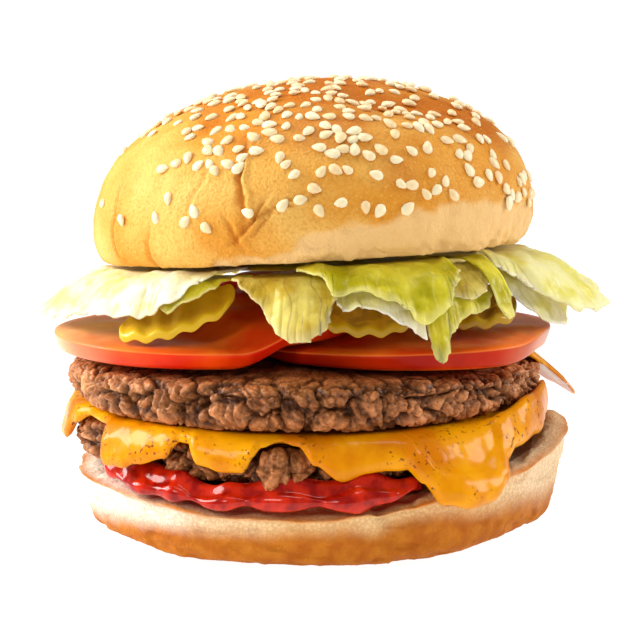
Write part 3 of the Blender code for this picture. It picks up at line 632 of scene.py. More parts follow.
# Stretches of the noise: heights are multiplied, so its waves are lower than they are wide.
FLATTER_SWELLS = np.array([1.0, 1.0, 1.6])
FLATTER_FOLDS = np.array([1.0, 1.0, 3.0])


def heel_grid():
    """The slab's superellipse, flared to a lip just under the cut, with slow wrinkles and fine pores."""
    azimuth, t = polar(560, wall_first(160, HEEL_SQUARENESS, HEEL_RADIUS, HEEL_RIM_HEIGHT))

    def outline(azimuth, upward):
        wrinkles = 0.5 * MM * ripple(azimuth, (5, 9, 14), 3)
        return HEEL_RADIUS + wrinkles - HEEL_TAPER * (1.0 - upward) / 2.0

    grid = slab(azimuth, t, HEEL_CENTRE, outline, heel_foot, heel_top, HEEL_SQUARENESS)
    height = (grid[..., 2] / heel_top(grid[..., 0], grid[..., 1])).clip(0.0, 1.0)
    on_side = ease(height / 0.12) * ease((1.03 - height) / 0.06)
    swell = bumps(grid * FLATTER_SWELLS, 0.7, 16, 301)
    folds = rough(grid * FLATTER_FOLDS, 9 * MM, 331, 2)
    creases = -0.6 * MM * ease((folds - 0.35) / 0.3)
    pores = bumps(grid, 0.20, 2.0, 311)
    lip_wave = rough(grid, 4.5 * MM, 341)
    from_lip = (height - LIP_PLACE - 0.012 * lip_wave) / LIP_WIDTH
    lip_line = np.exp(-(from_lip**2))
    lip = (1.2 + 0.6 * lip_wave) * MM * lip_line
    normals = outward_normals(grid)
    grid = grid + normals * ((swell + creases + pores) * on_side)[..., None]
    outwards = grid[..., :2] / np.linalg.norm(grid[..., :2], axis=-1, keepdims=True)
    near_rim = beyond(grid, 50, 4)
    grid[..., :2] += outwards * (lip * near_rim)[..., None]
    return grid, azimuth, height, near_rim * lip_line


# How far red, green and blue light travel in bread, as shares of the scale.
BREAD_GLOW = (1.0, 0.6, 0.3)
# Colour of the painted light that bleaches the bread, and of bread that ketchup has soaked.
FLOUR = (0.95, 0.88, 0.74)
SOAKED = (0.46, 0.040, 0.003)


def bread_material(name, crust, golden, pale, toast):
    """Crust from brown through golden to pale bread by the attribute "pale", painted whiter where the light
    bleaches it, with toasted edges by "toast" and red by "soak"."""
    material, tree, shader = finish(
        name, 0.6, Subsurface_Weight=0.10, Subsurface_Scale=0.004, Subsurface_Radius=BREAD_GLOW,
        Specular_IOR_Level=0.12,
    )
    grain = effect(tree, "grain", Scale=1500.0, Roundness=0.35)
    baked = mottled(tree, 260.0, crust, golden, 6.0, (0.3, 0.7))
    # Pale bread, painted whiter where the strong light bleaches it.
    crumb = blend(tree, value_of(tree, "flour"), pale, FLOUR)
    bread = blend(tree, value_of(tree, "pale"), baked, crumb)
    darker = tuple(0.75 * c for c in golden)
    speckled = blend(tree, spread(tree, grain, 0.62, 0.42, 0.0, 0.3), bread, darker)
    toasted = blend(tree, value_of(tree, "toast"), speckled, toast)
    paint(tree, shader, blend(tree, value_of(tree, "soak"), toasted, SOAKED))
    relief(tree, shader, grain, 0.5, 0.0006)
    return material


heel_points, heel_azimuth, heel_height, heel_lip = heel_grid()
heel_blotch = rough(heel_points, 11 * MM, 351)
heel_pale = ease((heel_height - around(heel_azimuth, HEEL_PALE_FROM) - 0.07 * heel_blotch) / 0.32)
# Painted light: how much the bread is whitened by the light, by azimuth.
heel_flour = around(heel_azimuth, HEEL_FLOUR)
heel_soak = around(heel_azimuth, HEEL_SOAK) * ease((heel_height - LIP_PLACE - 0.03) / 0.03)
heel_soak = heel_soak * beyond(heel_points, 52, 3)
heel_toast = heel_lip * (0.75 + 0.4 * heel_blotch)
heel_toast = np.clip(heel_toast + 0.5 * ease((0.10 - heel_height) / 0.1), 0.0, 1.0)
heel_finish = bread_material(
    "bread_heel", (0.44, 0.105, 0.005), (0.60, 0.20, 0.014), (0.88, 0.60, 0.29), (0.62, 0.18, 0.012)
)
heel_piece = closed_piece(
    "heel", heel_points, heel_finish, pale=heel_pale, toast=heel_toast, flour=heel_flour, soak=heel_soak
)
stands_for(heel_piece, "bun_heel")

# %% [markdown]
# ## Sauce
# Ketchup squeezed out at the rim stands in thick glossy beads. The layer is a thin slab whose edge
# swells.

# %% Ketchup
SAUCE_REACH = {
    -170: 47, -158: 54.5, -146: 56.6, -134: 57.6, -122: 57.4, -112: 58.1, -97: 57.4, -88: 58.1, -76: 57.5,
    -69: 55.5, -62: 50, -20: 46, 40: 50, 62: 54.5, 90: 51, 120: 47,
}
# Height that the sauce bulges above its flat layer at the rim, in millimetres, by azimuth.
SAUCE_BEAD = {
    -170: 0.6, -158: 2.4, -146: 3.2, -134: 4.1, -122: 4.3, -114: 3.0, -106: 4.1, -92: 4.3, -84: 3.4,
    -78: 3.8, -70: 2.8, -60: 0.5, 40: 0.8, 62: 2.4, 90: 1.2, 120: 0.6,
}

# How much fatter than the solid's the bead is, and the radius in millimetres at which it starts to rise.
SAUCE_FATTENING = 1.25
SAUCE_BEAD_FROM = 52.4
# How far the sauce reaches past the solid's edge and runs down over the cut, in millimetres, and where it
# does so.
SAUCE_OVERHANG = 1.3
SAUCE_RUN = 2.4
TALLER_BLOBS = np.array([1.0, 1.0, 0.4])
SAUCE_SPILL = {-150: 0, -136: 1, -72: 1, -58: 0, 90: 0}


def sauce_grid():
    """A flat layer on the heel; near its edge it rises to a bead, a quarter higher than the solid's, in
    soft blobs."""
    azimuth, t = polar(560, wall_first(80, 3.0, HEEL_RADIUS, 5 * MM))

    def outline(azimuth, upward):
        return (around(azimuth, SAUCE_REACH) + SAUCE_OVERHANG * around(azimuth, SAUCE_SPILL)) * MM

    def top(x, y):
        bead = SAUCE_FATTENING * around(np.arctan2(y, x), SAUCE_BEAD) * MM
        bead = bead * beyond(np.stack([x, y], axis=-1), SAUCE_BEAD_FROM, 2.2)
        return heel_bed(x, y) + FIT + SAUCE_THICKNESS + bead

    grid = slab(azimuth, t, (0.0, 0.0), outline, lambda x, y: heel_top(x, y) + FIT, top, 3.0)
    blobs = (0.1 * MM + bumps(grid * TALLER_BLOBS, 1.3, 8, 403, 2)) * beyond(grid, 48, 4)
    grid = grid + outward_normals(grid) * blobs[..., None]
    run = SAUCE_RUN * MM * around(azimuth, SAUCE_SPILL)
    grid[..., 2] -= run * beyond(grid, 55.5, 2.5)
    return grid


def sauce_material():
    """Deep red, glossy, with light glowing through its thin edges."""
    material, tree, shader = finish(
        "ketchup", 0.2, Subsurface_Weight=0.15, Subsurface_Scale=0.002, Subsurface_Radius=(1.0, 0.15, 0.05),
        Coat_Weight=0.4, Coat_Roughness=0.04, Specular_IOR_Level=0.2, IOR=WET_IOR,
    )
    paint(tree, shader, mottled(tree, 300.0, (0.28, 0.003, 0.001), (0.60, 0.020, 0.003)))
    relief(tree, shader, mottle(tree, 900.0), 0.15, 0.0003)
    return material


stands_for(closed_piece("sauce", sauce_grid(), sauce_material()), "ketchup")

# %% [markdown]
# ## Beef patties
# Minced beef cooks into round nuggets, 3 to 8 mm wide, of finer granules, with clefts between. Cell
# noise at three sizes gives exactly that, and the shade in the clefts is painted in near black. The nuggets
# may only eat into the slab where another layer lies on it.


# %% Patties
PATTY_SQUARENESS = 5.0
# Sizes of the three kinds of lump, and how far the slab's side is set back to make room for them.
NUGGET = 7.2 * MM
CRUMB = 3.4 * MM
GRANULE = 1.5 * MM
PATTY_INSET = 2.5
# How far nuggets stick out of the lower patty's side beyond the rest, in millimetres, by azimuth.
NUGGETS = {
    -180: 2.6, -160: 2.0, -150: 0, -106: 0, -101: 2.6, -91: 2.6, -87: 0, -78: 0, -71: 1.8, -66: 0, 140: 0,
    160: 2.0,
}


# Painted light: how much brighter the meat is painted than in the shaded middle of the front, by azimuth.
BEEF_PALE = {-180: 1.0, -140: 0.9, -118: 0.45, -100: 0.1, -88: 0.0, -70: 0.15, -50: 0.5, -20: 0.7, 90: 0.5}


def patty_grid(centre, radius, bottom, top, seed, nuggets, sag):
    """The solid's slab, pushed along its normals by lumps of 7.2, 3.4 and 1.5 mm, and cut in at their
    clefts."""
    azimuth, t = polar(880, wall_first(112, PATTY_SQUARENESS, radius, 11 * MM))

    def outline(azimuth, upward):
        return radius * (1.0 + 0.012 * ripple(azimuth, (2, 3, 5), seed))

    grid = slab(azimuth, t, centre, outline, bottom, top, PATTY_SQUARENESS)
    warp = np.stack([bumps(grid, 1.5, 5, seed * 10 + k) for k in range(3)], axis=-1)
    big, big_cleft, big_owner = lumps(grid + warp, NUGGET, seed * 100)
    mid, mid_cleft, mid_owner = lumps(grid + warp, CRUMB, seed * 100 + 20)
    small, small_cleft, _ = lumps(grid + 0.4 * warp, GRANULE, seed * 100 + 40)
    push = 1.9 * big + 1.2 * mid + 0.6 * small - 1.5 * big_cleft**2 - 0.7 * mid_cleft - 0.35 * small_cleft
    push = push * MM + bumps(grid, 1.3, 12, seed * 100 + 60, 2) + bumps(grid, 0.35, 1.8, seed * 100 + 70)
    outwards = (grid[..., :2] - centre) / radius
    on_side = ease((np.hypot(outwards[..., 0], outwards[..., 1]) - 0.80) / 0.16)
    stout = np.exp(-(((t - 0.5) / 0.22) ** 4)) * nuggets * around(azimuth, NUGGETS)
    push = (push + (stout - PATTY_INSET) * MM) * on_side
    normals = outward_normals(grid)
    facing_out = np.hypot(normals[..., 0], normals[..., 1])
    push = np.where(push > 0, push * facing_out, push * (0.35 + 0.65 * facing_out))
    cleft = np.clip(0.8 * big_cleft**2 + 0.5 * mid_cleft + 0.2 * small_cleft, 0, 1)
    points = grid + normals * push[..., None]
    points[..., 2] -= sag * MM * ease((t - 0.5) / 0.2) * on_side
    return points, cleft, 0.6 * big_owner + 0.4 * mid_owner, around(azimuth, BEEF_PALE)


def beef_material():
    """Pinkish tan lumps in painted light and shade: browner to the right where the light falls off, painted
    near black as shade in the clefts, with painted highlights on the granules' tips, and fat shine."""
    material, tree, shader = finish(
        "fried_beef", 0.38, Subsurface_Weight=0.08, Subsurface_Scale=0.002,
        Subsurface_Radius=(1.0, 0.4, 0.25),
        Coat_Weight=0.10, Coat_Roughness=0.12, Specular_IOR_Level=0.35, IOR=WET_IOR,
    )
    fine = effect(tree, "grain", Scale=1100.0, Roundness=0.4)
    dim = blend(tree, value_of(tree, "owner"), (0.30, 0.080, 0.018), (0.76, 0.27, 0.085))
    lit = blend(tree, value_of(tree, "owner"), (0.50, 0.165, 0.050), (0.96, 0.46, 0.20))
    lump_tone = blend(tree, value_of(tree, "light"), dim, lit)
    browned = mottled(tree, 120.0, lump_tone, (0.32, 0.105, 0.024), between=(0.42, 0.66))
    # Painted highlights on the tips of the granules.
    grainy = blend(tree, spread(tree, fine, 0.45, 0.75, 0.0, 0.45), browned, (0.78, 0.38, 0.17))
    # Darker between the granules.
    pitted = blend(tree, spread(tree, fine, 0.45, 0.28, 0.0, 0.6), grainy, (0.12, 0.032, 0.008))
    # Painted shade, near black, in the clefts between the lumps.
    paint(tree, shader, blend(tree, value_of(tree, "cleft"), pitted, (0.070, 0.020, 0.005)))
    tree.links.new(spread(tree, fine, 0.35, 0.7, 0.55, 0.18), shader.inputs["Roughness"])
    relief(tree, shader, fine, 0.7, 0.0008)
    return material


beef = beef_material()
# Centre, radius, faces, seed, share of the stout nuggets, and sag of the rim in millimetres.
PATTIES = {
    "lower": (LOWER_CENTRE, LOWER_RADIUS, lower_patty_bottom, lower_patty_top, 5, 1.0, 0.0),
    "upper": (UPPER_CENTRE, UPPER_RADIUS, upper_patty_bottom, upper_patty_top, 6, 0.0, 1.3),
}
for level, patty in PATTIES.items():
    beef_grid, beef_cleft, beef_owner, beef_light = patty_grid(*patty)
    piece = closed_piece(
        "beef_" + level, beef_grid, beef, cleft=beef_cleft, owner=beef_owner, light=beef_light
    )
    stands_for(piece, "patty_" + level)

# %% [markdown]
# ## Melted cheese
# A slice that melts first clings to the patty's rim and then runs, thickest at the tip of a drip. Its
# section follows a path over the rim; how far it gets along that path changes round the burger.

# %% Cheese paths
# How far the slice reaches past the rim, in millimetres, by azimuth in degrees; -90 is the front.
LOWER_CHEESE_HANG = {
    -176: 10.5, -168: 9.5, -162: 5, -157: 1.5, -146: 2, -141: 11, -136: 10.5, -130: 8.8, -123: 7,
    -120: 2.5, -117: 2.5, -114: 7, -109: 8.6, -104: 8.4, -100: 2.5, -96: 0.5, -92: 2, -88: 6.5, -82: 9.8,
    -77: 8.3, -68: 8, -65: 12, -62: 17, -56: 19, -50: 18.4, -46: 15.5, -42: 10, -37: 8, -24: 7, -14: 5.5,
    -4: 4.5, 12: 4.5, 25: 9, 44: 13, 58: 6, 78: 2, 100: 5, 122: 13, 135: 15, 148: 7, 165: 4,
}
# Where it spills outwards over the heel instead of clinging to the patty, 0 to 1.
LOWER_CHEESE_SPILL = {
    -174: 0.1, -158: 0, -80: 0, -68: 0.6, -58: 0.9, -48: 0.8, -32: 0.7, -14: 0.4, 6: 0, 120: 0, 135: 0.5,
    150: 0,
}
# Where along the section, in millimetres, the slice's shoulder swells up against the side of the upper patty.
SWELL_PLACE = 55.5
SWELL_WIDTH = 2.2
# How high it swells there, in millimetres, by azimuth.
LOWER_CHEESE_SWELL = {
    -52: 0, -38: 2.0, -24: 4.2, -10: 5.2, 4: 3.4, 20: 0, 150: 0, 172: 1.1, -166: 1.1, -155: 0,
}
# How far the second slice reaches from its own centre, in millimetres, by azimuth.
UPPER_CHEESE_REACH = {
    -60: 12, -42: 22, -26: 42, -16: 50, -5: 55, 5: 58, 14: 55, 26: 48, 45: 45, 70: 42, 100: 56, 112: 54,
    140: 36, 180: 24, 220: 14,
}
# Painted glare: how pale the second slice is painted just inside its edge, where the light glares on it,
# by azimuth.
BLANCHED = {-40: 0, -26: 0.8, 2: 0.8, 16: 0, 180: 0}
TOP_CHEESE_CENTRE = np.array([5.0, 9.0]) * MM
TOP_CHEESE_DROOP = 0.92
# It starts to bend that far inside the patty's rim, over that length. Its edge is rounded over the last
# stretch.
TOP_CHEESE_BEND_INSET = 3.2 * MM
TOP_CHEESE_BEND = 3.0 * MM
TOP_CHEESE_EDGE = 1.6 * MM
# Radius and height, in millimetres, of the middle of a slice as it leaves the patty's top, which is
# height 0.
CLINGING_PATH = (
    (0, 0), (40, 0), (48, 0), (53.2, -0.4), (55.7, -2.6), (56.8, -6.0), (57.4, -9.5), (59.0, -12.0),
    (60.4, -16), (61, -24),
)
SPILLING_PATH = (
    (0, 0), (40, 0), (48, 0), (53.2, -0.4), (56.2, -2.4), (58.2, -5.5), (60.6, -8.6), (62.6, -11.6),
    (63.4, -16), (63.4, -25),
)
# Length of a step along a path in millimetres, and steps between two of its points before that.
PATH_STEP = 0.25
PATH_SHARES = 24


# Distance to either side over which a path's slope is measured, in millimetres.
SLOPE_STEP = 0.6
# How much fatter the tip of a drip is, as a share of the slice's thickness.
DRIP_FATTENING = 0.9


def smooth_path(points):
    """Points PATH_STEP apart on the Catmull-Rom curve through these."""
    points = np.array(points, float)
    padded = np.concatenate([2 * points[:1] - points[1:2], points, 2 * points[-1:] - points[-2:-1]])
    share = np.linspace(0, 1, PATH_SHARES, endpoint=False)[:, None]
    runs = []
    for a, b, c, d in zip(padded, padded[1:], padded[2:], padded[3:]):
        square, cube = (2 * a - 5 * b + 4 * c - d) * share**2, (3 * b - a - 3 * c + d) * share**3
        runs.append(0.5 * (2 * b + (c - a) * share + square + cube))
    curve = np.concatenate(runs + [points[-1:]])
    length = np.concatenate([[0], np.cumsum(np.linalg.norm(np.diff(curve, axis=0), axis=1))])
    even = np.arange(0, length[-1], PATH_STEP)
    return np.stack([np.interp(even, length, curve[:, k]) for k in range(2)], axis=1)


def draped(azimuth, t, centre, flat_radius, hang, lean, swell, floor, thickness):
    """A slice over a rim. Distance s along the section is looked up on both paths and mixed by lean; the
    two faces are that line moved half the thickness along its normal, and the edge is rounded by a
    quarter circle."""
    paths = [smooth_path(p) for p in (CLINGING_PATH, SPILLING_PATH)]

    def middle(s):
        places = [[np.interp(s, np.arange(len(p)) * PATH_STEP, p[:, k]) for k in range(2)] for p in paths]
        return [places[0][k] + (places[1][k] - places[0][k]) * lean for k in range(2)]

    outer = t <= 0.5
    share = np.where(outer, t, 1.0 - t) * 2.0
    length = flat_radius / MM + hang
    s = length * (1.0 - (1.0 - share) ** 1.75)
    r, z = middle(s)
    r_before, z_before = middle(s - SLOPE_STEP)
    r_after, z_after = middle(s + SLOPE_STEP)
    run, rise = r_after - r_before, z_after - z_before
    norm = np.maximum(np.hypot(run, rise), 1e-6)
    edge = 1.3 * thickness / MM
    rounding = np.sqrt(1.0 - np.clip((s - length) / edge + 1.0, 0.0, 1.0) ** 2)
    fat = 1.0 + DRIP_FATTENING * lean * ease((s - length + 9.0) / 5.0)
    half = 0.5 * thickness / MM * fat * rounding
    shift = np.where(outer, 1.0, -1.0) * half + 0.5 * thickness / MM * (fat - 1.0) * rounding
    r = np.maximum((r - rise / norm * shift) * MM, 0.0)
    hump = swell * np.exp(-(((s - SWELL_PLACE) / SWELL_WIDTH) ** 2))
    z = (z + run / norm * shift + np.where(outer, hump, 0.0)) * MM
    x, y = centre[0] + r * np.cos(azimuth), centre[1] + r * np.sin(azimuth)
    reach = np.minimum(r, 0.93 * flat_radius) / np.maximum(r, 1e-9)
    base = floor(centre[0] + (x - centre[0]) * reach, centre[1] + (y - centre[1]) * reach)
    return np.stack([x, y, base + FIT + 0.5 * thickness + z], axis=-1), outer


# %% Cheese pieces
def lower_cheese_grid():
    """The draped slice, its outer face swollen by slow noise where it hangs."""
    azimuth, t = polar(700, pole_to_pole(130))
    by_azimuth = (LOWER_CHEESE_HANG, LOWER_CHEESE_SPILL, LOWER_CHEESE_SWELL)
    hang, lean, swell = (around(azimuth, knots) for knots in by_azimuth)
    grid, outer = draped(
        azimuth, t, LOWER_CENTRE, LOWER_RADIUS, hang, lean, swell, lower_patty_top, CHEESE_THICKNESS
    )
    relief_height = 0.2 * MM + bumps(grid, 0.5, 9, 501, 2) + bumps(grid, 0.16, 3.2, 511)
    return grid + outward_normals(grid) * (relief_height * beyond(grid, 51, 4) * outer)[..., None]


def upper_cheese_grid():
    """A flat slice that droops past the patty's rim, along a hyperbola whose slope ends at
    TOP_CHEESE_DROOP."""
    azimuth, t = polar(320, pole_to_pole(80))
    outer = t <= 0.5
    share = np.where(outer, t, 1.0 - t) * 2.0
    reach = around(azimuth, UPPER_CHEESE_REACH) * MM
    s = reach * (1.0 - (1.0 - share) ** 1.6)
    x, y = TOP_CHEESE_CENTRE[0] + s * np.cos(azimuth), TOP_CHEESE_CENTRE[1] + s * np.sin(azimuth)
    to_edge = np.clip((s - reach) / TOP_CHEESE_EDGE + 1.0, 0.0, 1.0)
    half = 0.5 * TOP_CHEESE_THICKNESS * np.sqrt(1.0 - to_edge**2)
    from_centre = np.hypot(x - UPPER_CENTRE[0], y - UPPER_CENTRE[1])
    past = np.clip(from_centre - (UPPER_RADIUS - TOP_CHEESE_BEND_INSET), 0.0, None)
    droop = TOP_CHEESE_DROOP * (np.hypot(past, TOP_CHEESE_BEND) - TOP_CHEESE_BEND)
    height = upper_patty_top(x, y) + FIT + 0.5 * TOP_CHEESE_THICKNESS - droop
    share_out = s / reach
    # Painted glare just inside the edge, where the light glares on the slice.
    blanch = ease((0.95 - share_out) / 0.03) * ease((share_out - 0.74) / 0.12) * around(azimuth, BLANCHED)
    return np.stack([x, y, height + np.where(outer, half, -half)], axis=-1), blanch


def cheese_material():
    """Orange-yellow and wet, a little see-through at thin edges, with scattered brown specks of meat
    juice, and a painted glare in pale cream just inside the second slice's edge."""
    material, tree, shader = finish(
        "melted_cheese", 0.3, Subsurface_Weight=0.15, Subsurface_Scale=0.003,
        Subsurface_Radius=(1.0, 0.40, 0.03),
        Coat_Weight=0.18, Coat_Roughness=0.05, Specular_IOR_Level=0.16, IOR=WET_IOR,
    )
    cloud = mottled(tree, 90.0, (0.66, 0.190, 0.0), (0.86, 0.350, 0.0005))
    speck = spread(tree, mottle(tree, 950.0, 3.0), 0.58, 0.68)
    patch = spread(tree, mottle(tree, 75.0, 3.0), 0.46, 0.58)
    both = tree.nodes.new("ShaderNodeMath")
    both.operation = "MULTIPLY"
    tree.links.new(speck, both.inputs[0])
    tree.links.new(patch, both.inputs[1])
    # Painted glare: pale cream where the light glares on the second slice's edge.
    cheese_tone = blend(tree, value_of(tree, "blanch"), cloud, (0.94, 0.72, 0.36))
    paint(tree, shader, blend(tree, both.outputs[0], cheese_tone, (0.20, 0.045, 0.004)))
    relief(tree, shader, mottle(tree, 420.0), 0.15, 0.0006)
    return material


cheese = cheese_material()
stands_for(closed_piece("melt_lower", lower_cheese_grid(), cheese), "cheese_lower")
upper_cheese, upper_blanch = upper_cheese_grid()
stands_for(closed_piece("melt_upper", upper_cheese, cheese, blanch=upper_blanch), "cheese_upper")

# %% [markdown]
# ## Tomato
# Each slice is a slab whose skin slants inwards below. The cut face is wet flesh with a painted highlight
# along the rim, and the left slice climbs onto the right one.

# %% Tomato slices
TOMATO_LEFT_CENTRE, TOMATO_LEFT_RADIUS = np.array([-24.0, -8.0]) * MM, 38.6 * MM
TOMATO_RIGHT_CENTRE, TOMATO_RIGHT_RADIUS = np.array([17.5, -9.0]) * MM, 36.8 * MM
TOMATO_BACK_CENTRE, TOMATO_BACK_RADIUS = np.array([3.0, 23.5]) * MM, 31.0 * MM
TOMATO_LEFT_THICKNESS = 5.4 * MM
TOMATO_LEFT_THINNING = 1.2 * MM
TOMATO_LEFT_WEDGE = 0.04
# The left slice thickens from its front edge backwards, and is plain again at the second place.
TOMATO_FRONT = 46.0 * MM
TOMATO_THICK_TO = 34.0 * MM
TOMATO_RIGHT_THICKNESS = 5.6 * MM
TOMATO_RIGHT_WEDGE = 0.045
TOMATO_BACK_THICKNESS = 4.6 * MM
TOMATO_SKIN_SLANT = 2.4 * MM
TOMATO_SQUARENESS = 6.0
TOMATO_LEAN_GAP = 0.7 * MM
TOMATO_CLIMB_START = 1.6 * MM
TOMATO_CLIMB_RUN = 12.0 * MM
TOMATO_BACK_CLIMB_RUN = 16.0 * MM


def tomato_bottom(x, y):
    """On the upper patty at the front, and on the second cheese slice at the back right."""
    over_cheese = ease((y / MM + 34.0) / 14.0) * ease((x / MM + 46.0) / 20.0)
    return upper_patty_top(x, y) + FIT + (TOP_CHEESE_THICKNESS + FIT) * over_cheese


def climb(x, y, centre, radius, run):
    """0 away from a round slice up to 1 on top of it, for a layer that bends up over its edge."""
    away = np.hypot(x - centre[0], y - centre[1]) - radius
    return ease(1.0 - (away - TOMATO_CLIMB_START) / run)


def tomato_right_top(x, y):
    return tomato_bottom(x, y) + TOMATO_RIGHT_THICKNESS + TOMATO_RIGHT_WEDGE * (x - 20 * MM)


def tomato_left_bottom(x, y):
    rest = tomato_bottom(x, y)
    on_right = climb(x, y, TOMATO_RIGHT_CENTRE, TOMATO_RIGHT_RADIUS, TOMATO_CLIMB_RUN)
    return rest + (tomato_right_top(x, y) + FIT - rest) * on_right


def tomato_left_top(x, y):
    wedge = np.clip(y + TOMATO_FRONT, 0.0, 36.0 * MM) * ease((TOMATO_THICK_TO - y) / TOMATO_THICK_TO)
    thicker = TOMATO_LEFT_WEDGE * wedge
    thinner = TOMATO_LEFT_THINNING * climb(x, y, TOMATO_RIGHT_CENTRE, TOMATO_RIGHT_RADIUS, TOMATO_CLIMB_RUN)
    return tomato_left_bottom(x, y) + TOMATO_LEFT_THICKNESS + thicker - thinner


def tomato_back_bottom(x, y):
    rest = tomato_bottom(x, y)
    on_right = climb(x, y, TOMATO_RIGHT_CENTRE, TOMATO_RIGHT_RADIUS, TOMATO_BACK_CLIMB_RUN)
    on_left = climb(x, y, TOMATO_LEFT_CENTRE, TOMATO_LEFT_RADIUS, TOMATO_BACK_CLIMB_RUN)
    over_right = (tomato_right_top(x, y) + FIT - rest) * on_right
    over_left = (tomato_left_top(x, y) + FIT - rest) * on_left
    return rest + np.maximum(over_right, over_left) + TOMATO_LEAN_GAP * np.maximum(on_left, on_right)


def tomato_back_top(x, y):
    return tomato_back_bottom(x, y) + TOMATO_BACK_THICKNESS


# Painted glare: how pale the left slice is painted at its end, and the others at theirs, where the light
# glares on them, by azimuth.
TOMATO_GLARE = {-55: 0, -38: 0.15, -22: 0.35, 0: 0.35, 30: 0, 180: 0}
TOMATO_BLUSH = {-180: 0.75, -160: 0.6, -140: 0.3, -120: 0.05, -100: 0, 90: 0, 150: 0.3}


def tomato_grid(centre, radius, bottom, top, seed, blush):
    """A slab of squareness 5; its outline shrinks downwards, and low bumps leave the cut face uneven."""
    azimuth, t = polar(380, wall_first(100, TOMATO_SQUARENESS, radius, 6 * MM))

    def outline(azimuth, upward):
        slant = TOMATO_SKIN_SLANT * (1.0 - upward) / 2.0
        return radius * (1.0 + 0.012 * ripple(azimuth, (3, 5, 7), seed)) - slant

    grid = slab(azimuth, t, centre, outline, bottom, top, TOMATO_SQUARENESS)
    share = np.hypot(grid[..., 0] - centre[0], grid[..., 1] - centre[1]) / radius
    uneven = bumps(grid, 0.25, 5, seed * 31, 2) * ease((0.93 - share) / 0.05)
    grid[..., 2] += np.where(t < 0.5, uneven, 0.0)
    skin = ease((share - 0.90) / 0.05) * ease((t - 0.42) / 0.03)
    # A painted highlight along the rim.
    rim = np.exp(-(((t - 0.435) / 0.022) ** 2))
    # Painted glare where the light glares on the ends of the slices.
    pale = around(azimuth, TOMATO_BLUSH) * blush + around(azimuth, TOMATO_GLARE) * (1.0 - blush)
    return grid, skin, rim, pale


def tomato_material():
    """Deep red skin, painted bright in the light and darker in the shade, orange-red flesh, a painted
    highlight along the rim, a painted pale glare where the light glares, and wet gloss over all of it.
    """
    material, tree, shader = finish(
        "tomato", 0.28, Subsurface_Weight=0.2, Subsurface_Scale=0.004, Subsurface_Radius=(1.0, 0.25, 0.08),
        Coat_Weight=0.05, Coat_Roughness=0.06, Specular_IOR_Level=0.2, IOR=WET_IOR,
    )
    flesh = mottled(tree, 60.0, (0.68, 0.045, 0.004), (0.88, 0.17, 0.012), 3.0)
    bright = mottled(tree, 60.0, (0.72, 0.014, 0.001), (0.95, 0.070, 0.002), 3.0)
    shaded = mottled(tree, 60.0, (0.36, 0.006, 0.001), (0.52, 0.022, 0.001), 3.0)
    skin = blend(tree, value_of(tree, "shade"), bright, shaded)
    whole = blend(tree, value_of(tree, "skin"), flesh, skin)
    # Painted glare: pale orange where the light glares.
    both = blend(tree, value_of(tree, "blush"), whole, (0.98, 0.56, 0.24))
    # Painted highlight along the rim.
    at_rim = spread(tree, value_of(tree, "rim"), 0.2, 1.0, 0.0, 0.55)
    paint(tree, shader, blend(tree, at_rim, both, (0.90, 0.26, 0.05)))
    relief(tree, shader, mottle(tree, 500.0), 0.12, 0.0005)
    return material


tomato = tomato_material()
# Centre, radius, faces, seed, and 1 for the slice in the light or 0 for one in the shade.
TOMATOES = {
    "left": (TOMATO_LEFT_CENTRE, TOMATO_LEFT_RADIUS, tomato_left_bottom, tomato_left_top, 11, 1.0),
    "right": (TOMATO_RIGHT_CENTRE, TOMATO_RIGHT_RADIUS, tomato_bottom, tomato_right_top, 12, 0.0),
    "back": (TOMATO_BACK_CENTRE, TOMATO_BACK_RADIUS, tomato_back_bottom, tomato_back_top, 13, 0.0),
}
for side, tomato_slice in TOMATOES.items():
    slice_grid, slice_skin, slice_rim, slice_blush = tomato_grid(*tomato_slice)
    shade = np.full(slice_skin.shape, 1.0 - tomato_slice[-1])
    piece = closed_piece(
        "slice_" + side, slice_grid, tomato, skin=slice_skin, rim=slice_rim, blush=slice_blush, shade=shade
    )
    stands_for(piece, "tomato_" + side)

# %% [markdown]
# ## Pickles
# Crinkle-cut slices lean on the tomato. Both faces carry the same ridges, so the rim is a wavy ribbon.

# %% Pickle slices
PICKLE_THICKNESS = 2.6 * MM
PICKLE_SQUARENESS = 5.0
PICKLE_CRINKLE = 0.45 * MM
PICKLE_CRINKLE_LENGTH = 5.2 * MM
# Centre x, y and z, half length and half width in millimetres, and rise along x and along y.
PICKLES = {
    "left": (-31.5, -35.0, 54.6, 13.0, 7.6, 0.30, 0.50),
    "middle": (9.5, -35.0, 54.6, 11.5, 7.0, -0.05, 0.60),
    "right": (33.2, -24.0, 55.0, 11.5, 9.0, -0.04, 0.42),
}

# How much of its flesh each slice shows in light, from 0 to 1.
PICKLE_LIGHT = {"left": 0.75, "middle": 0.25, "right": 0.0}


def pickle_grid(spec, number):
    """A tilted ellipse with rounded edges; a sine along its length lifts both faces alike."""
    x0, y0, z0, half_length, half_width, rise_x, rise_y = spec
    azimuth, t = polar(240, wall_first(70, PICKLE_SQUARENESS, half_length * MM, PICKLE_THICKNESS))
    radial, upward = superellipse(t, PICKLE_SQUARENESS)
    wobble = 1.0 + 0.03 * ripple(azimuth, (2, 3, 6), 40 + number)
    along_slice = half_length * MM * radial * wobble * np.cos(azimuth)
    across_slice = half_width * MM * radial * wobble * np.sin(azimuth)
    ridge = PICKLE_CRINKLE * np.sin(2 * math.pi * along_slice / PICKLE_CRINKLE_LENGTH)
    x = x0 * MM + along_slice
    y = y0 * MM + across_slice / math.hypot(1.0, rise_y)
    plane = z0 * MM + rise_x * (x - x0 * MM) + rise_y * (y - y0 * MM)
    return np.stack([x, y, plane + ridge + upward * PICKLE_THICKNESS / 2], axis=-1), radial


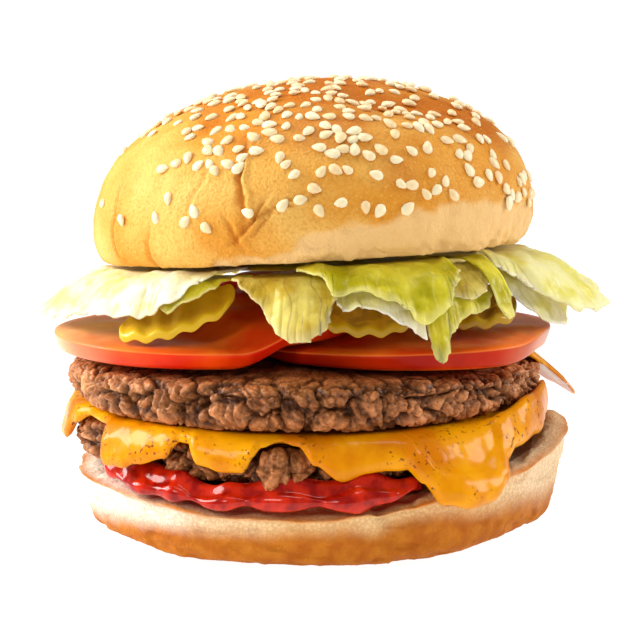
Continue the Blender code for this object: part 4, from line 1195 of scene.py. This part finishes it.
def pickle_material():
    """Olive rind and murky see-through flesh with seed-sized blotches, both painted brighter on slices in the
    light and darker on those in the shade, and brine on it.
    """
    material, tree, shader = finish(
        "pickle", 0.25, Subsurface_Weight=0.4, Subsurface_Scale=0.004, Subsurface_Radius=(0.8, 0.7, 0.1),
        Coat_Weight=0.15, Coat_Roughness=0.06, IOR=WET_IOR,
    )
    blotch = spread(tree, mottle(tree, 260.0, 4.0, 0.6), 0.4, 0.62)
    dim = blend(tree, blotch, (0.26, 0.10, 0.003), (0.56, 0.27, 0.006))
    flesh = blend(tree, value_of(tree, "light"), dim, (0.92, 0.54, 0.03))
    rind = blend(tree, value_of(tree, "light"), (0.48, 0.28, 0.004), (0.84, 0.54, 0.014))
    paint(tree, shader, blend(tree, spread(tree, value_of(tree, "rind"), 0.86, 0.97), flesh, rind))
    relief(tree, shader, mottle(tree, 700.0), 0.2, 0.0005)
    return material


pickle = pickle_material()
for number, (side, spec) in enumerate(PICKLES.items()):
    pickle_points, rind = pickle_grid(spec, number)
    light = np.full(rind.shape, PICKLE_LIGHT[side])
    piece = closed_piece("gherkin_" + side, pickle_points, pickle, rind=rind, light=light)
    stands_for(piece, "pickle_" + side)

# %% [markdown]
# ## Lettuce
# A torn leaf lies under the crown and hangs over the salad. Its section is a Bezier curve from the
# crown's edge to the leaf's own edge, whose points were measured in the picture; teeth, ruffles and veins
# are added on top.

# %% Leaves
CROWN_CENTRE = np.array([-1.4, 0.0]) * MM
CROWN_CUT_HEIGHT = 64.6 * MM
CROWN_SLOPE = (0.055, -0.057)
LEAF_THICKNESS = 0.55 * MM
LEAF_FIRST_DROP = 1.5 * MM
LEAF_LEVEL_STEP = 1.75 * MM
LEAF_INNER_RADIUS = 33.0 * MM
LEAF_BEND_RADIUS = 45.0 * MM
# Columns for each measured point of a leaf's edge, and rows from its hidden end to that edge.
LEAF_COLUMNS = 20
LEAF_ROWS = 58
# Radius in millimetres that turns an azimuth into a length along a leaf's edge.
LEAF_EDGE_RADIUS = 55
# Level under the crown, ruffle in millimetres, ruffles across, tint, and points of the hanging edge as
# (azimuth in degrees, radius and height in millimetres).
LEAVES = {
    "left": (0, 0.6, 3.5, "pale", (
        (-217, 50, 59.5), (-203, 57, 56), (-187, 62, 53.5), (-176, 66, 51.3), (-170, 64.5, 50.6),
        (-160, 62, 51.5), (-150, 60, 54), (-142, 58.5, 54.2), (-136, 57.5, 54.4), (-131, 56.8, 55.4),
        (-127, 55.5, 58), (-119, 51, 62.5),
    )),
    "left_fold": (1, 0.2, 2.0, "green", (
        (-137, 54.2, 57.5), (-133, 54.5, 55.8), (-130, 54.5, 56.5), (-127, 54.5, 55.5), (-123, 53.5, 58),
        (-117, 50, 61.5),
    )),
    "front_left": (1, 0.4, 2.5, "khaki", (
        (-113, 48.5, 64), (-109, 50.5, 61), (-105, 52, 58.5), (-101, 53.5, 54.7), (-99, 55, 52.4),
        (-96, 55.8, 50.8), (-93, 56, 50.6), (-90, 55, 52.5), (-88.5, 54, 55), (-86, 52, 60),
    )),
    "front": (0, 0.5, 3.0, "green", (
        (-96, 49, 65.5), (-91, 52, 64), (-86.5, 54.5, 60.2), (-83, 55.2, 61.8), (-79, 56, 62),
        (-75, 56.5, 60), (-71, 57, 57.5), (-67, 57, 54.5), (-63, 56.3, 55.8), (-60, 56, 57.6),
        (-57.5, 55, 62), (-54, 52, 65),
    )),
    "front_under": (2, 0.2, 1.5, "pale", (
        (-86, 52, 58.8), (-84.5, 52.7, 57), (-81, 53.4, 57.6), (-78.5, 54, 58), (-75, 54, 56.3),
        (-71, 54.4, 54.2), (-68, 54.8, 52.3), (-65.6, 55, 50.8),
    )),
    "fold": (1, 0.3, 1.5, "khaki", (
        (-59.5, 49, 63.5), (-58, 51.8, 61.3), (-55.5, 53.2, 59.8), (-52, 54.2, 58.7), (-48.5, 53.8, 59.5),
        (-45.5, 52.4, 61), (-43, 49.5, 63.5),
    )),
    "front_right": (2, 0.2, 2.0, "green", (
        (-64.6, 54.4, 51.5), (-63.4, 55.6, 46.4), (-61.6, 55.8, 45.8), (-60, 55.4, 47.8),
        (-58.8, 54.4, 52), (-55, 54, 54.5), (-51, 54.2, 55.8), (-47.5, 54.8, 56.4), (-45.5, 53.4, 58.2),
        (-44, 50, 61),
    )),
    "strip": (0, 0.1, 1.0, "green", (
        (-46.6, 55.2, 60.5), (-45.2, 57.2, 55.2), (-43.6, 57.4, 54.2), (-42, 57.2, 54.2),
        (-40.6, 55.6, 58.6),
    )),
    "right": (0, 0.6, 3.5, "lime", (
        (-38, 49, 64), (-32, 51, 61.3), (-29, 54.5, 58.2), (-26, 58.5, 56), (-21, 63.5, 53.8),
        (-16, 66.6, 52.4), (-10, 67.5, 53), (-2, 65, 56), (9, 61, 57.5), (19, 57, 58.5), (27, 50, 62),
    )),
    "right_under": (2, 0.3, 2.0, "pale", (
        (-32, 49, 60), (-29, 54, 53.6), (-25, 57.4, 51.1), (-16, 58.8, 49.8), (-8, 58, 52.6), (2, 55, 55),
        (11, 50, 58.5),
    )),
    "back_right": (1, 0.8, 3.5, "green", (
        (31, 50, 61), (38, 56, 55.5), (46, 58, 52.5), (53, 56.5, 54.5), (61, 57.5, 50.8), (68, 58, 51.8),
        (74, 54, 56.5), (78, 50, 60),
    )),
    "back": (0, 0.6, 3.0, "pale", (
        (80, 50, 60.5), (84, 55.5, 56), (90, 58.5, 52), (96, 57.5, 54), (103, 58.5, 50.5),
        (110, 56, 54.5), (117, 50, 59),
    )),
    "back_left": (1, 0.6, 3.0, "green", (
        (109, 50, 57.5), (115, 54.5, 53.5), (122, 56.5, 49.8), (130, 57.5, 48.6), (136, 55.5, 52.5),
        (142, 50, 56.5),
    )),
}


def leaf_level(x, y, level):
    """Height at which leaves of that level lie under the crown's slanting cut."""
    cut = CROWN_CUT_HEIGHT + CROWN_SLOPE[0] * x + CROWN_SLOPE[1] * y
    return cut - LEAF_FIRST_DROP - level * LEAF_LEVEL_STEP


def along(share, values):
    """A smooth value at share 0 to 1 of the way through evenly spaced values."""
    place = np.clip(share, 0.0, 1.0) * (len(values) - 1)
    before = np.minimum(place.astype(int), len(values) - 2)
    values = np.array(values, float)
    return values[before] + (values[before + 1] - values[before]) * ease(place - before)


def leaf_grid(level, ruffle, waves, points, seed):
    """Rows run from under the crown outwards. The first third lies flat; the rest is a quadratic Bezier
    curve whose middle point is straight out from the bend. Noise along the edge makes teeth, and noise
    over the leaf crinkles it."""
    columns = LEAF_COLUMNS * len(points)
    u = np.broadcast_to(np.linspace(0, 1, columns), (LEAF_ROWS, columns))
    v = np.broadcast_to(np.linspace(0, 1, LEAF_ROWS)[:, None], u.shape)
    place = u * (len(points) - 1)
    before = np.minimum(place.astype(int), len(points) - 2)
    azimuths = np.array([p[0] for p in points], float)
    azimuth = np.radians(azimuths[before] + (azimuths[before + 1] - azimuths[before]) * (place - before))
    lengthwise = np.stack([azimuth * LEAF_EDGE_RADIUS, azimuth * 0, azimuth * 0], axis=-1)
    teeth = rough(lengthwise, 3.0, seed, 4)
    edge_radius = along(u, [p[1] for p in points]) * MM + 0.25 * MM * teeth
    edge_height = along(u, [p[2] for p in points]) * MM + 0.55 * MM * teeth
    flat_share = 0.3
    over = np.clip((v - flat_share) / (1.0 - flat_share), 0.0, 1.0)
    lying = np.clip(v / flat_share, 0.0, 1.0)
    east, north = np.cos(azimuth), np.sin(azimuth)
    bend = LEAF_BEND_RADIUS + CROWN_CENTRE[0] * east
    inner = LEAF_INNER_RADIUS + (bend - LEAF_INNER_RADIUS) * lying
    start_height = leaf_level(bend * east, bend * north, level)
    drop = np.maximum(start_height - edge_height, 0.0)
    shoulder = np.minimum(bend + 0.35 * drop + 0.3 * (edge_radius - bend), edge_radius + 0.5 * MM)
    first, second, third = (1.0 - over) ** 2, 2.0 * over * (1.0 - over), over**2
    flat = v <= flat_share
    radius = np.where(flat, inner, first * bend + second * shoulder + third * edge_radius)
    bent = (first + second) * start_height + third * np.minimum(edge_height, start_height)
    height = np.where(flat, leaf_level(inner * east, inner * north, level), bent)
    fade = ease(over / 0.8) * ease(np.minimum(u, 1.0 - u) / 0.15)
    wave = ruffle * MM * np.sin(2 * math.pi * waves * u + level) * fade
    radius = radius + wave * over
    grid = np.stack([radius * east, radius * north, height + 0.5 * wave * (1.0 - over)], axis=-1)
    folds = np.abs(bumps(grid, 1.0, 9.0, seed + 60, 2))
    crinkle = (bumps(grid, 0.55, 6.0, seed + 50, 4) - folds) * ease(over / 0.25)
    slopes = np.cross(np.gradient(grid, axis=1), np.gradient(grid, axis=0))
    slopes /= np.maximum(np.linalg.norm(slopes, axis=-1, keepdims=True), 1e-12)
    return grid + slopes * crinkle[..., None], azimuth, over


def vein_mask(azimuth, over, seed):
    """Thin lines that run outwards and fork: the distance to the nearest of evenly spaced, slowly bent
    azimuths."""
    bent = azimuth * LEAF_EDGE_RADIUS + 1.6 * np.sin(3.0 * over + seed) + 0.5 * np.sin(11.0 * over + 2 * seed)
    main = np.abs((bent / 6.5) % 1.0 - 0.5)
    side = np.abs(((bent + 9.0 * over) / 3.1) % 1.0 - 0.5)
    return np.clip(1.0 - main / 0.045, 0, 1) + 0.45 * np.clip(1.0 - side / 0.06, 0, 1) * ease(over / 0.5)


def leaf_material(name, deep, light, vein, vein_share):
    """Thin leaf: yellow-green between paler ribs, paler still at the edge, lit through from behind."""
    material, tree, shader = finish(
        name, 0.34, Subsurface_Weight=0.55, Subsurface_Scale=0.003, Subsurface_Radius=(0.9, 1.0, 0.35),
        Coat_Weight=0.12, Coat_Roughness=0.12, Specular_IOR_Level=0.3, IOR=WET_IOR,
    )
    body = mottled(tree, 120.0, deep, light)
    rim_tint = tuple(0.4 + 0.6 * c for c in light)
    edged = blend(tree, spread(tree, value_of(tree, "over"), 0.86, 1.0, 0.0, 0.35), body, rim_tint)
    veined = spread(tree, value_of(tree, "vein"), 0.0, 1.0, 0.0, vein_share)
    paint(tree, shader, blend(tree, veined, edged, vein))
    relief(tree, shader, mottle(tree, 330.0, 5.0), 0.6, 0.0009)
    return material


TINTS = {
    "green": leaf_material("leaf_green", (0.40, 0.35, 0.003), (0.72, 0.62, 0.040), (0.84, 0.76, 0.25), 0.25),
    "pale": leaf_material("leaf_pale", (0.76, 0.68, 0.20), (0.92, 0.88, 0.56), (0.92, 0.88, 0.62), 0.25),
    "lime": leaf_material("leaf_lime", (0.70, 0.62, 0.12), (0.87, 0.80, 0.36), (0.88, 0.84, 0.50), 0.3),
    "khaki": leaf_material("leaf_khaki", (0.54, 0.37, 0.032), (0.74, 0.60, 0.13), (0.24, 0.10, 0.06), 0.5),
}
for number, (side, (level, ruffle, waves, tint, points)) in enumerate(LEAVES.items()):
    leaf_points, leaf_azimuth, leaf_over = leaf_grid(level, ruffle, waves, points, 700 + 13 * number)
    leaf_veins = vein_mask(leaf_azimuth, leaf_over, number)
    leaf = open_sheet(
        "leaf_" + side, leaf_points, TINTS[tint], LEAF_THICKNESS, over=leaf_over, vein=leaf_veins
    )
    stands_for(leaf, "lettuce_" + side)
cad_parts["lettuce_middle"].material_slots[0].material = TINTS["green"]

# %% [markdown]
# ## Crown of the bun
# The top half domes up from its cut. The crust is glazed and brown on top, creased at the left, and torn
# off along a line at the front right, where pale bread shows down to the ragged cut.

# %% Crown
CROWN_RADIUS = 51.8 * MM
CROWN_WIDEST_ABOVE_CUT = 7.5 * MM
CROWN_DOME = 33.0 * MM
CROWN_TUCK = 4.2 * MM
# Shallow dents: x, y, size and depth in millimetres.
CROWN_DENTS = (
    (14, -25, 9, 2.6), (26, -20, 10, 2.0), (-24, -30, 6, 1.2), (20, 24, 12, 1.4), (-26, 20, 9, 1.0),
)
# Creases in the crust: azimuth in degrees, middle height and half length in millimetres above the table,
# lean in degrees of azimuth for each millimetre, width in degrees and depth in millimetres.
CROWN_CREASES = (
    (-151.0, 72, 11, -0.02, 0.8, 0.8),
    (-135.0, 68, 6, 0.10, 0.6, 0.5),
    (-108.3, 84, 8, -0.15, 0.7, 1.3),
    (-105.5, 76, 5, 0.9, 0.8, 1.0),
    (-99.5, 79, 3.5, 2.0, 0.7, 0.9),
    (-101.5, 76, 3, 1.2, 0.6, 0.7),
    (-109.5, 73, 4, -0.5, 0.7, 0.7),
    (-95.0, 80, 3, 2.6, 0.7, 0.6),
    (-120.0, 82, 6, 0.3, 0.6, 0.3),
    (160.0, 74, 9, 0.1, 1.0, 0.8),
    (60.0, 76, 8, -0.2, 1.1, 0.9),
)
# Height of the line where the crust is torn off, in millimetres, by azimuth.
CRUST_EDGE = {
    -150: 60, -128: 62, -112: 69, -104: 71, -96: 74, -88: 77, -78: 76, -62: 79, -45: 80, -25: 78, 0: 72,
    30: 66, 90: 62, 150: 60,
}


def crown_point(azimuth, t):
    """Dome, then tuck, then cut face: a quarter ellipse, a quarter circle and a flat disc, for t from 0
    to 1."""
    dome_end, tuck_end = 0.66, 0.84
    dome = np.clip(t / dome_end, 0.0, 1.0) * math.pi / 2
    tuck = np.clip((t - dome_end) / (tuck_end - dome_end), 0.0, 1.0) * math.pi / 2
    cut = np.clip((t - tuck_end) / (1.0 - tuck_end), 0.0, 1.0)
    full = CROWN_RADIUS * (1.0 + 0.008 * ripple(azimuth, (2, 3, 5), 21))
    radius = full * np.sin(dome) ** 0.93 - CROWN_TUCK * (1.0 - np.cos(tuck))
    radius = np.where(t > tuck_end, (full - CROWN_TUCK) * (1.0 - cut), radius)
    height = CROWN_WIDEST_ABOVE_CUT * (1.0 - np.sin(tuck)) + CROWN_DOME * np.cos(dome) ** 0.93
    x = CROWN_CENTRE[0] + radius * np.cos(azimuth)
    y = CROWN_CENTRE[1] + radius * np.sin(azimuth)
    dents = 0.0
    for at_x, at_y, size, depth in CROWN_DENTS:
        near = np.hypot(x / MM - at_x, y / MM - at_y) / size
        dents = dents + depth * MM * np.exp(-near * near)
    height = height - dents * np.where(t < dome_end, 1.0, 0.0) * np.cos(dome) ** 0.5
    cut_plane = CROWN_CUT_HEIGHT + CROWN_SLOPE[0] * x + CROWN_SLOPE[1] * y
    return np.stack([x, y, cut_plane + height], axis=-1)


def crown_skin(azimuth, t):
    """crown_point with creases as Gaussian grooves, slow swells, fine pores and the step at the torn
    edge: (points, how pale, how creased)."""
    grid = crown_point(azimuth, t)
    height = grid[..., 2] / MM
    creased, flaps = np.zeros(t.shape), np.zeros(t.shape)
    bend = rough(grid, 5 * MM, 841)
    for at, middle, half, lean, width, depth in CROWN_CREASES:
        centre_line = at + lean * (height - middle) + 1.1 * bend
        away = (np.degrees(azimuth) - centre_line + 180.0) % 360.0 - 180.0
        reach = np.exp(-(((height - middle) / half) ** 4))
        creased = creased + depth * np.exp(-((away / width) ** 2)) * reach
        flaps = flaps + 0.45 * depth * np.exp(-((away / width / 1.3 - 1.7) ** 2)) * reach
    wobble = rough(grid, 7 * MM, 801)
    below = ease((around(azimuth, CRUST_EDGE) - height + 2.6 * wobble) / 2.2)
    on_skin = ease((0.85 - t) / 0.03)
    swell = bumps(grid, 0.35, 14, 811, 2)
    pores = bumps(grid, 0.09, 2.2, 821)
    ragged = ease((t - 0.72) / 0.08)
    crumb_depth = (0.45 + 0.5 * ragged) * MM
    crumb = below * (crumb_depth * rough(grid, 3.0 * MM, 831) - 0.45 * MM)
    push = (swell + pores + crumb + (flaps - creased) * MM) * on_skin
    return grid + outward_normals(grid) * push[..., None], below, np.clip(creased, 0, 1)


def crown_material():
    """Glazed crust, from straw on the left flank to chestnut on top, darker in the dents and creases as
    painted shade, with painted glints on the grain, over pale torn bread.
    """
    material, tree, shader = finish(
        "bread_crown", 0.45, Subsurface_Weight=0.10, Subsurface_Scale=0.004, Subsurface_Radius=BREAD_GLOW,
        Specular_IOR_Level=0.10,
    )
    grain = effect(tree, "grain", Scale=1500.0, Roundness=0.3)
    baked = mottled(tree, 45.0, (0.73, 0.30, 0.030), (0.84, 0.49, 0.115), 5.0, (0.35, 0.68))
    # Browner on top as baked crust, and in the dents as painted shade.
    darker = blend(tree, value_of(tree, "brown"), baked, (0.50, 0.130, 0.004))
    glinting = blend(tree, spread(tree, grain, 0.56, 0.76, 0.0, 0.4), darker, (0.92, 0.60, 0.17))
    grainy = blend(tree, spread(tree, grain, 0.54, 0.34, 0.0, 0.3), glinting, (0.54, 0.18, 0.015))
    torn = blend(tree, value_of(tree, "pale"), grainy, (0.83, 0.51, 0.20))
    # Painted shade in the creases.
    paint(tree, shader, blend(tree, value_of(tree, "crease"), torn, (0.55, 0.17, 0.015)))
    relief(tree, shader, grain, 0.6, 0.0007)
    return material


crown_azimuth, crown_t = polar(760, pole_to_pole(130))
crown_grid, crown_pale, crown_crease = crown_skin(crown_azimuth, crown_t)
crown_cloud = rough(crown_grid, 17 * MM, 851)
crown_height = crown_grid[..., 2] / MM
crown_brown = ease((crown_height - 85) / 26 + 0.15 * crown_grid[..., 0] / CROWN_RADIUS + 0.5 * crown_cloud)
# Painted shade: the crust is painted browner in the dents, where shade falls.
for at_x, at_y, size, depth in CROWN_DENTS:
    near = np.hypot(crown_grid[..., 0] / MM - at_x, crown_grid[..., 1] / MM - at_y) / size
    crown_brown = crown_brown + 0.45 * depth * np.exp(-((near / 0.7) ** 2))
crown_piece = closed_piece(
    "crown", crown_grid, crown_material(),
    pale=crown_pale, crease=0.7 * crown_crease, brown=np.clip(crown_brown, 0, 1),
)
stands_for(crown_piece, "bun_crown")

# %% [markdown]
# ## Sesame
# Seeds fall where they like: thick on top, in clusters at the right, few on the left flank. Each one is
# the same flattened drop of a few dozen faces, laid on the crust, turned, sized and tinted by a seeded
# draw.

# %% Sesame seeds
SEED_THROWS = 2600
SEED_LENGTH = 3.2 * MM
SEED_WIDTH = 2.35 * MM
SEED_THICKNESS = 1.25 * MM
SEED_SPACING = 2.3 * MM
# Where seeds lie thick: azimuth and height above the table, size, and weight.
SEED_CLUSTERS = (
    (-80, 91, 4, 1.5), (-66, 84, 4, 1.2), (-58, 88, 4, 1.0), (-84, 80, 3, 0.9), (-100, 88, 4, 0.6),
    (-122, 92, 5, 0.8), (-130, 86, 4, 0.5), (-52, 96, 5, 0.9), (-72, 98, 5, 0.8), (-104, 98, 6, 0.8),
    (-42, 86, 4, 0.7), (-30, 84, 5, 0.6), (-35, 78, 4, 0.5), (-106, 73, 3, 0.6), (-118, 74, 3, 0.4),
    (-138, 73, 3, 0.3), (40, 92, 10, 0.7), (130, 92, 10, 0.7), (-97, 72, 2, 1.3), (-84, 72, 2, 1.3),
    (-74, 71, 2, 1.3), (-63, 73, 2, 1.0),
)


def seed_shape(columns=8, rows=5):
    """A drop: an ellipsoid whose width tapers along its length. Returns its points and faces."""
    azimuth, t = polar(columns, pole_to_pole(rows))
    x = np.cos(math.pi * t)
    taper = 1.0 - 0.32 * x
    y = np.sin(math.pi * t) * np.cos(azimuth) * taper
    z = np.sin(math.pi * t) * np.sin(azimuth) * taper
    points = np.stack([x * SEED_LENGTH, y * SEED_WIDTH, z * SEED_THICKNESS], axis=-1).reshape(-1, 3) / 2
    tips = np.array([[SEED_LENGTH, 0, 0], [-SEED_LENGTH, 0, 0]]) / 2
    return np.concatenate([points, tips]), *closed_faces(rows, columns)


def seed_places():
    """Throws seeds at the dome, keeps each with the chance of its place, and drops those too near an
    earlier one."""
    draw = np.random.default_rng(19)
    lift = draw.uniform(0.0, 1.0, SEED_THROWS)
    azimuth = draw.uniform(-math.pi, math.pi, SEED_THROWS)
    t = 0.655 * np.arccos(1.0 - lift) / (math.pi / 2)
    step = 1e-3
    base = crown_point(np.stack([azimuth, azimuth + step, azimuth]), np.stack([t, t, t + step]))
    height = base[0, :, 2] / MM
    chance = 0.035 + 0.40 * ease((height - 88) / 14)
    for at, level, size, weight in SEED_CLUSTERS:
        away = ((np.degrees(azimuth) - at + 180.0) % 360.0 - 180.0) * 0.8
        spot = np.exp(-((away / (1.6 * size)) ** 2) - ((height - level) / size) ** 2)
        chance = chance + weight * 0.6 * spot
    wanted = draw.uniform(0.0, 1.0, SEED_THROWS) < chance
    kept = []
    for index in np.flatnonzero(wanted):
        if all(np.linalg.norm(base[0, index] - base[0, other]) > SEED_SPACING for other in kept):
            kept.append(index)
    kept = np.array(kept)
    east = base[1, kept] - base[0, kept]
    south = base[2, kept] - base[0, kept]
    up = np.cross(south, east)
    up /= np.linalg.norm(up, axis=-1, keepdims=True)
    east /= np.linalg.norm(east, axis=-1, keepdims=True)
    return base[0, kept], east, np.cross(up, east), up, draw


def seed_cloud(material):
    """Every seed as one joined mesh: shape points turned by each seed's own three axes and moved to its
    place."""
    place, east, north, up, draw = seed_places()
    count = len(place)
    shape, quads, fans = seed_shape()
    spin = draw.uniform(0, 2 * math.pi, (count, 1))
    tilt = draw.normal(0, 0.12, (count, 1))
    forward = np.cos(spin) * east + np.sin(spin) * north + tilt * up
    forward /= np.linalg.norm(forward, axis=-1, keepdims=True)
    sideways = np.cross(up, forward)
    sideways /= np.linalg.norm(sideways, axis=-1, keepdims=True)
    top = np.cross(forward, sideways)
    size = draw.uniform(0.82, 1.12, (count, 1, 1))
    axes = np.stack([forward, sideways, top], axis=1)
    sunk = draw.uniform(0.05, 0.32, (count, 1)) * SEED_THICKNESS
    points = np.einsum("pk,nkc->npc", shape, axes) * size + (place + up * sunk)[:, None, :]
    offset = (np.arange(count) * len(shape))[:, None, None]
    faces = (quads[None] + offset).reshape(-1, 4).tolist() + (fans[None] + offset).reshape(-1, 3).tolist()
    tint = np.repeat(draw.uniform(0, 1, count), len(shape))
    print("seeds:", count)
    return mesh_object("sesame", points.reshape(-1, 3), faces, material, {"tint": tint})


def seed_material():
    """Ivory seeds, some toasted to straw."""
    material, tree, shader = finish(
        "sesame", 0.4, Subsurface_Weight=0.2, Subsurface_Scale=0.002, Subsurface_Radius=(1.0, 0.7, 0.4)
    )
    ivory = blend(tree, value_of(tree, "tint"), (0.86, 0.62, 0.32), (0.92, 0.80, 0.52))
    toasted = spread(tree, mottle(tree, 900.0), 0.5, 0.8, 0.0, 0.3)
    paint(tree, shader, blend(tree, toasted, ivory, (0.78, 0.48, 0.20)))
    relief(tree, shader, mottle(tree, 2500.0), 0.2, 0.0002)
    return material


stands_for(seed_cloud(seed_material()), "bun_crown")
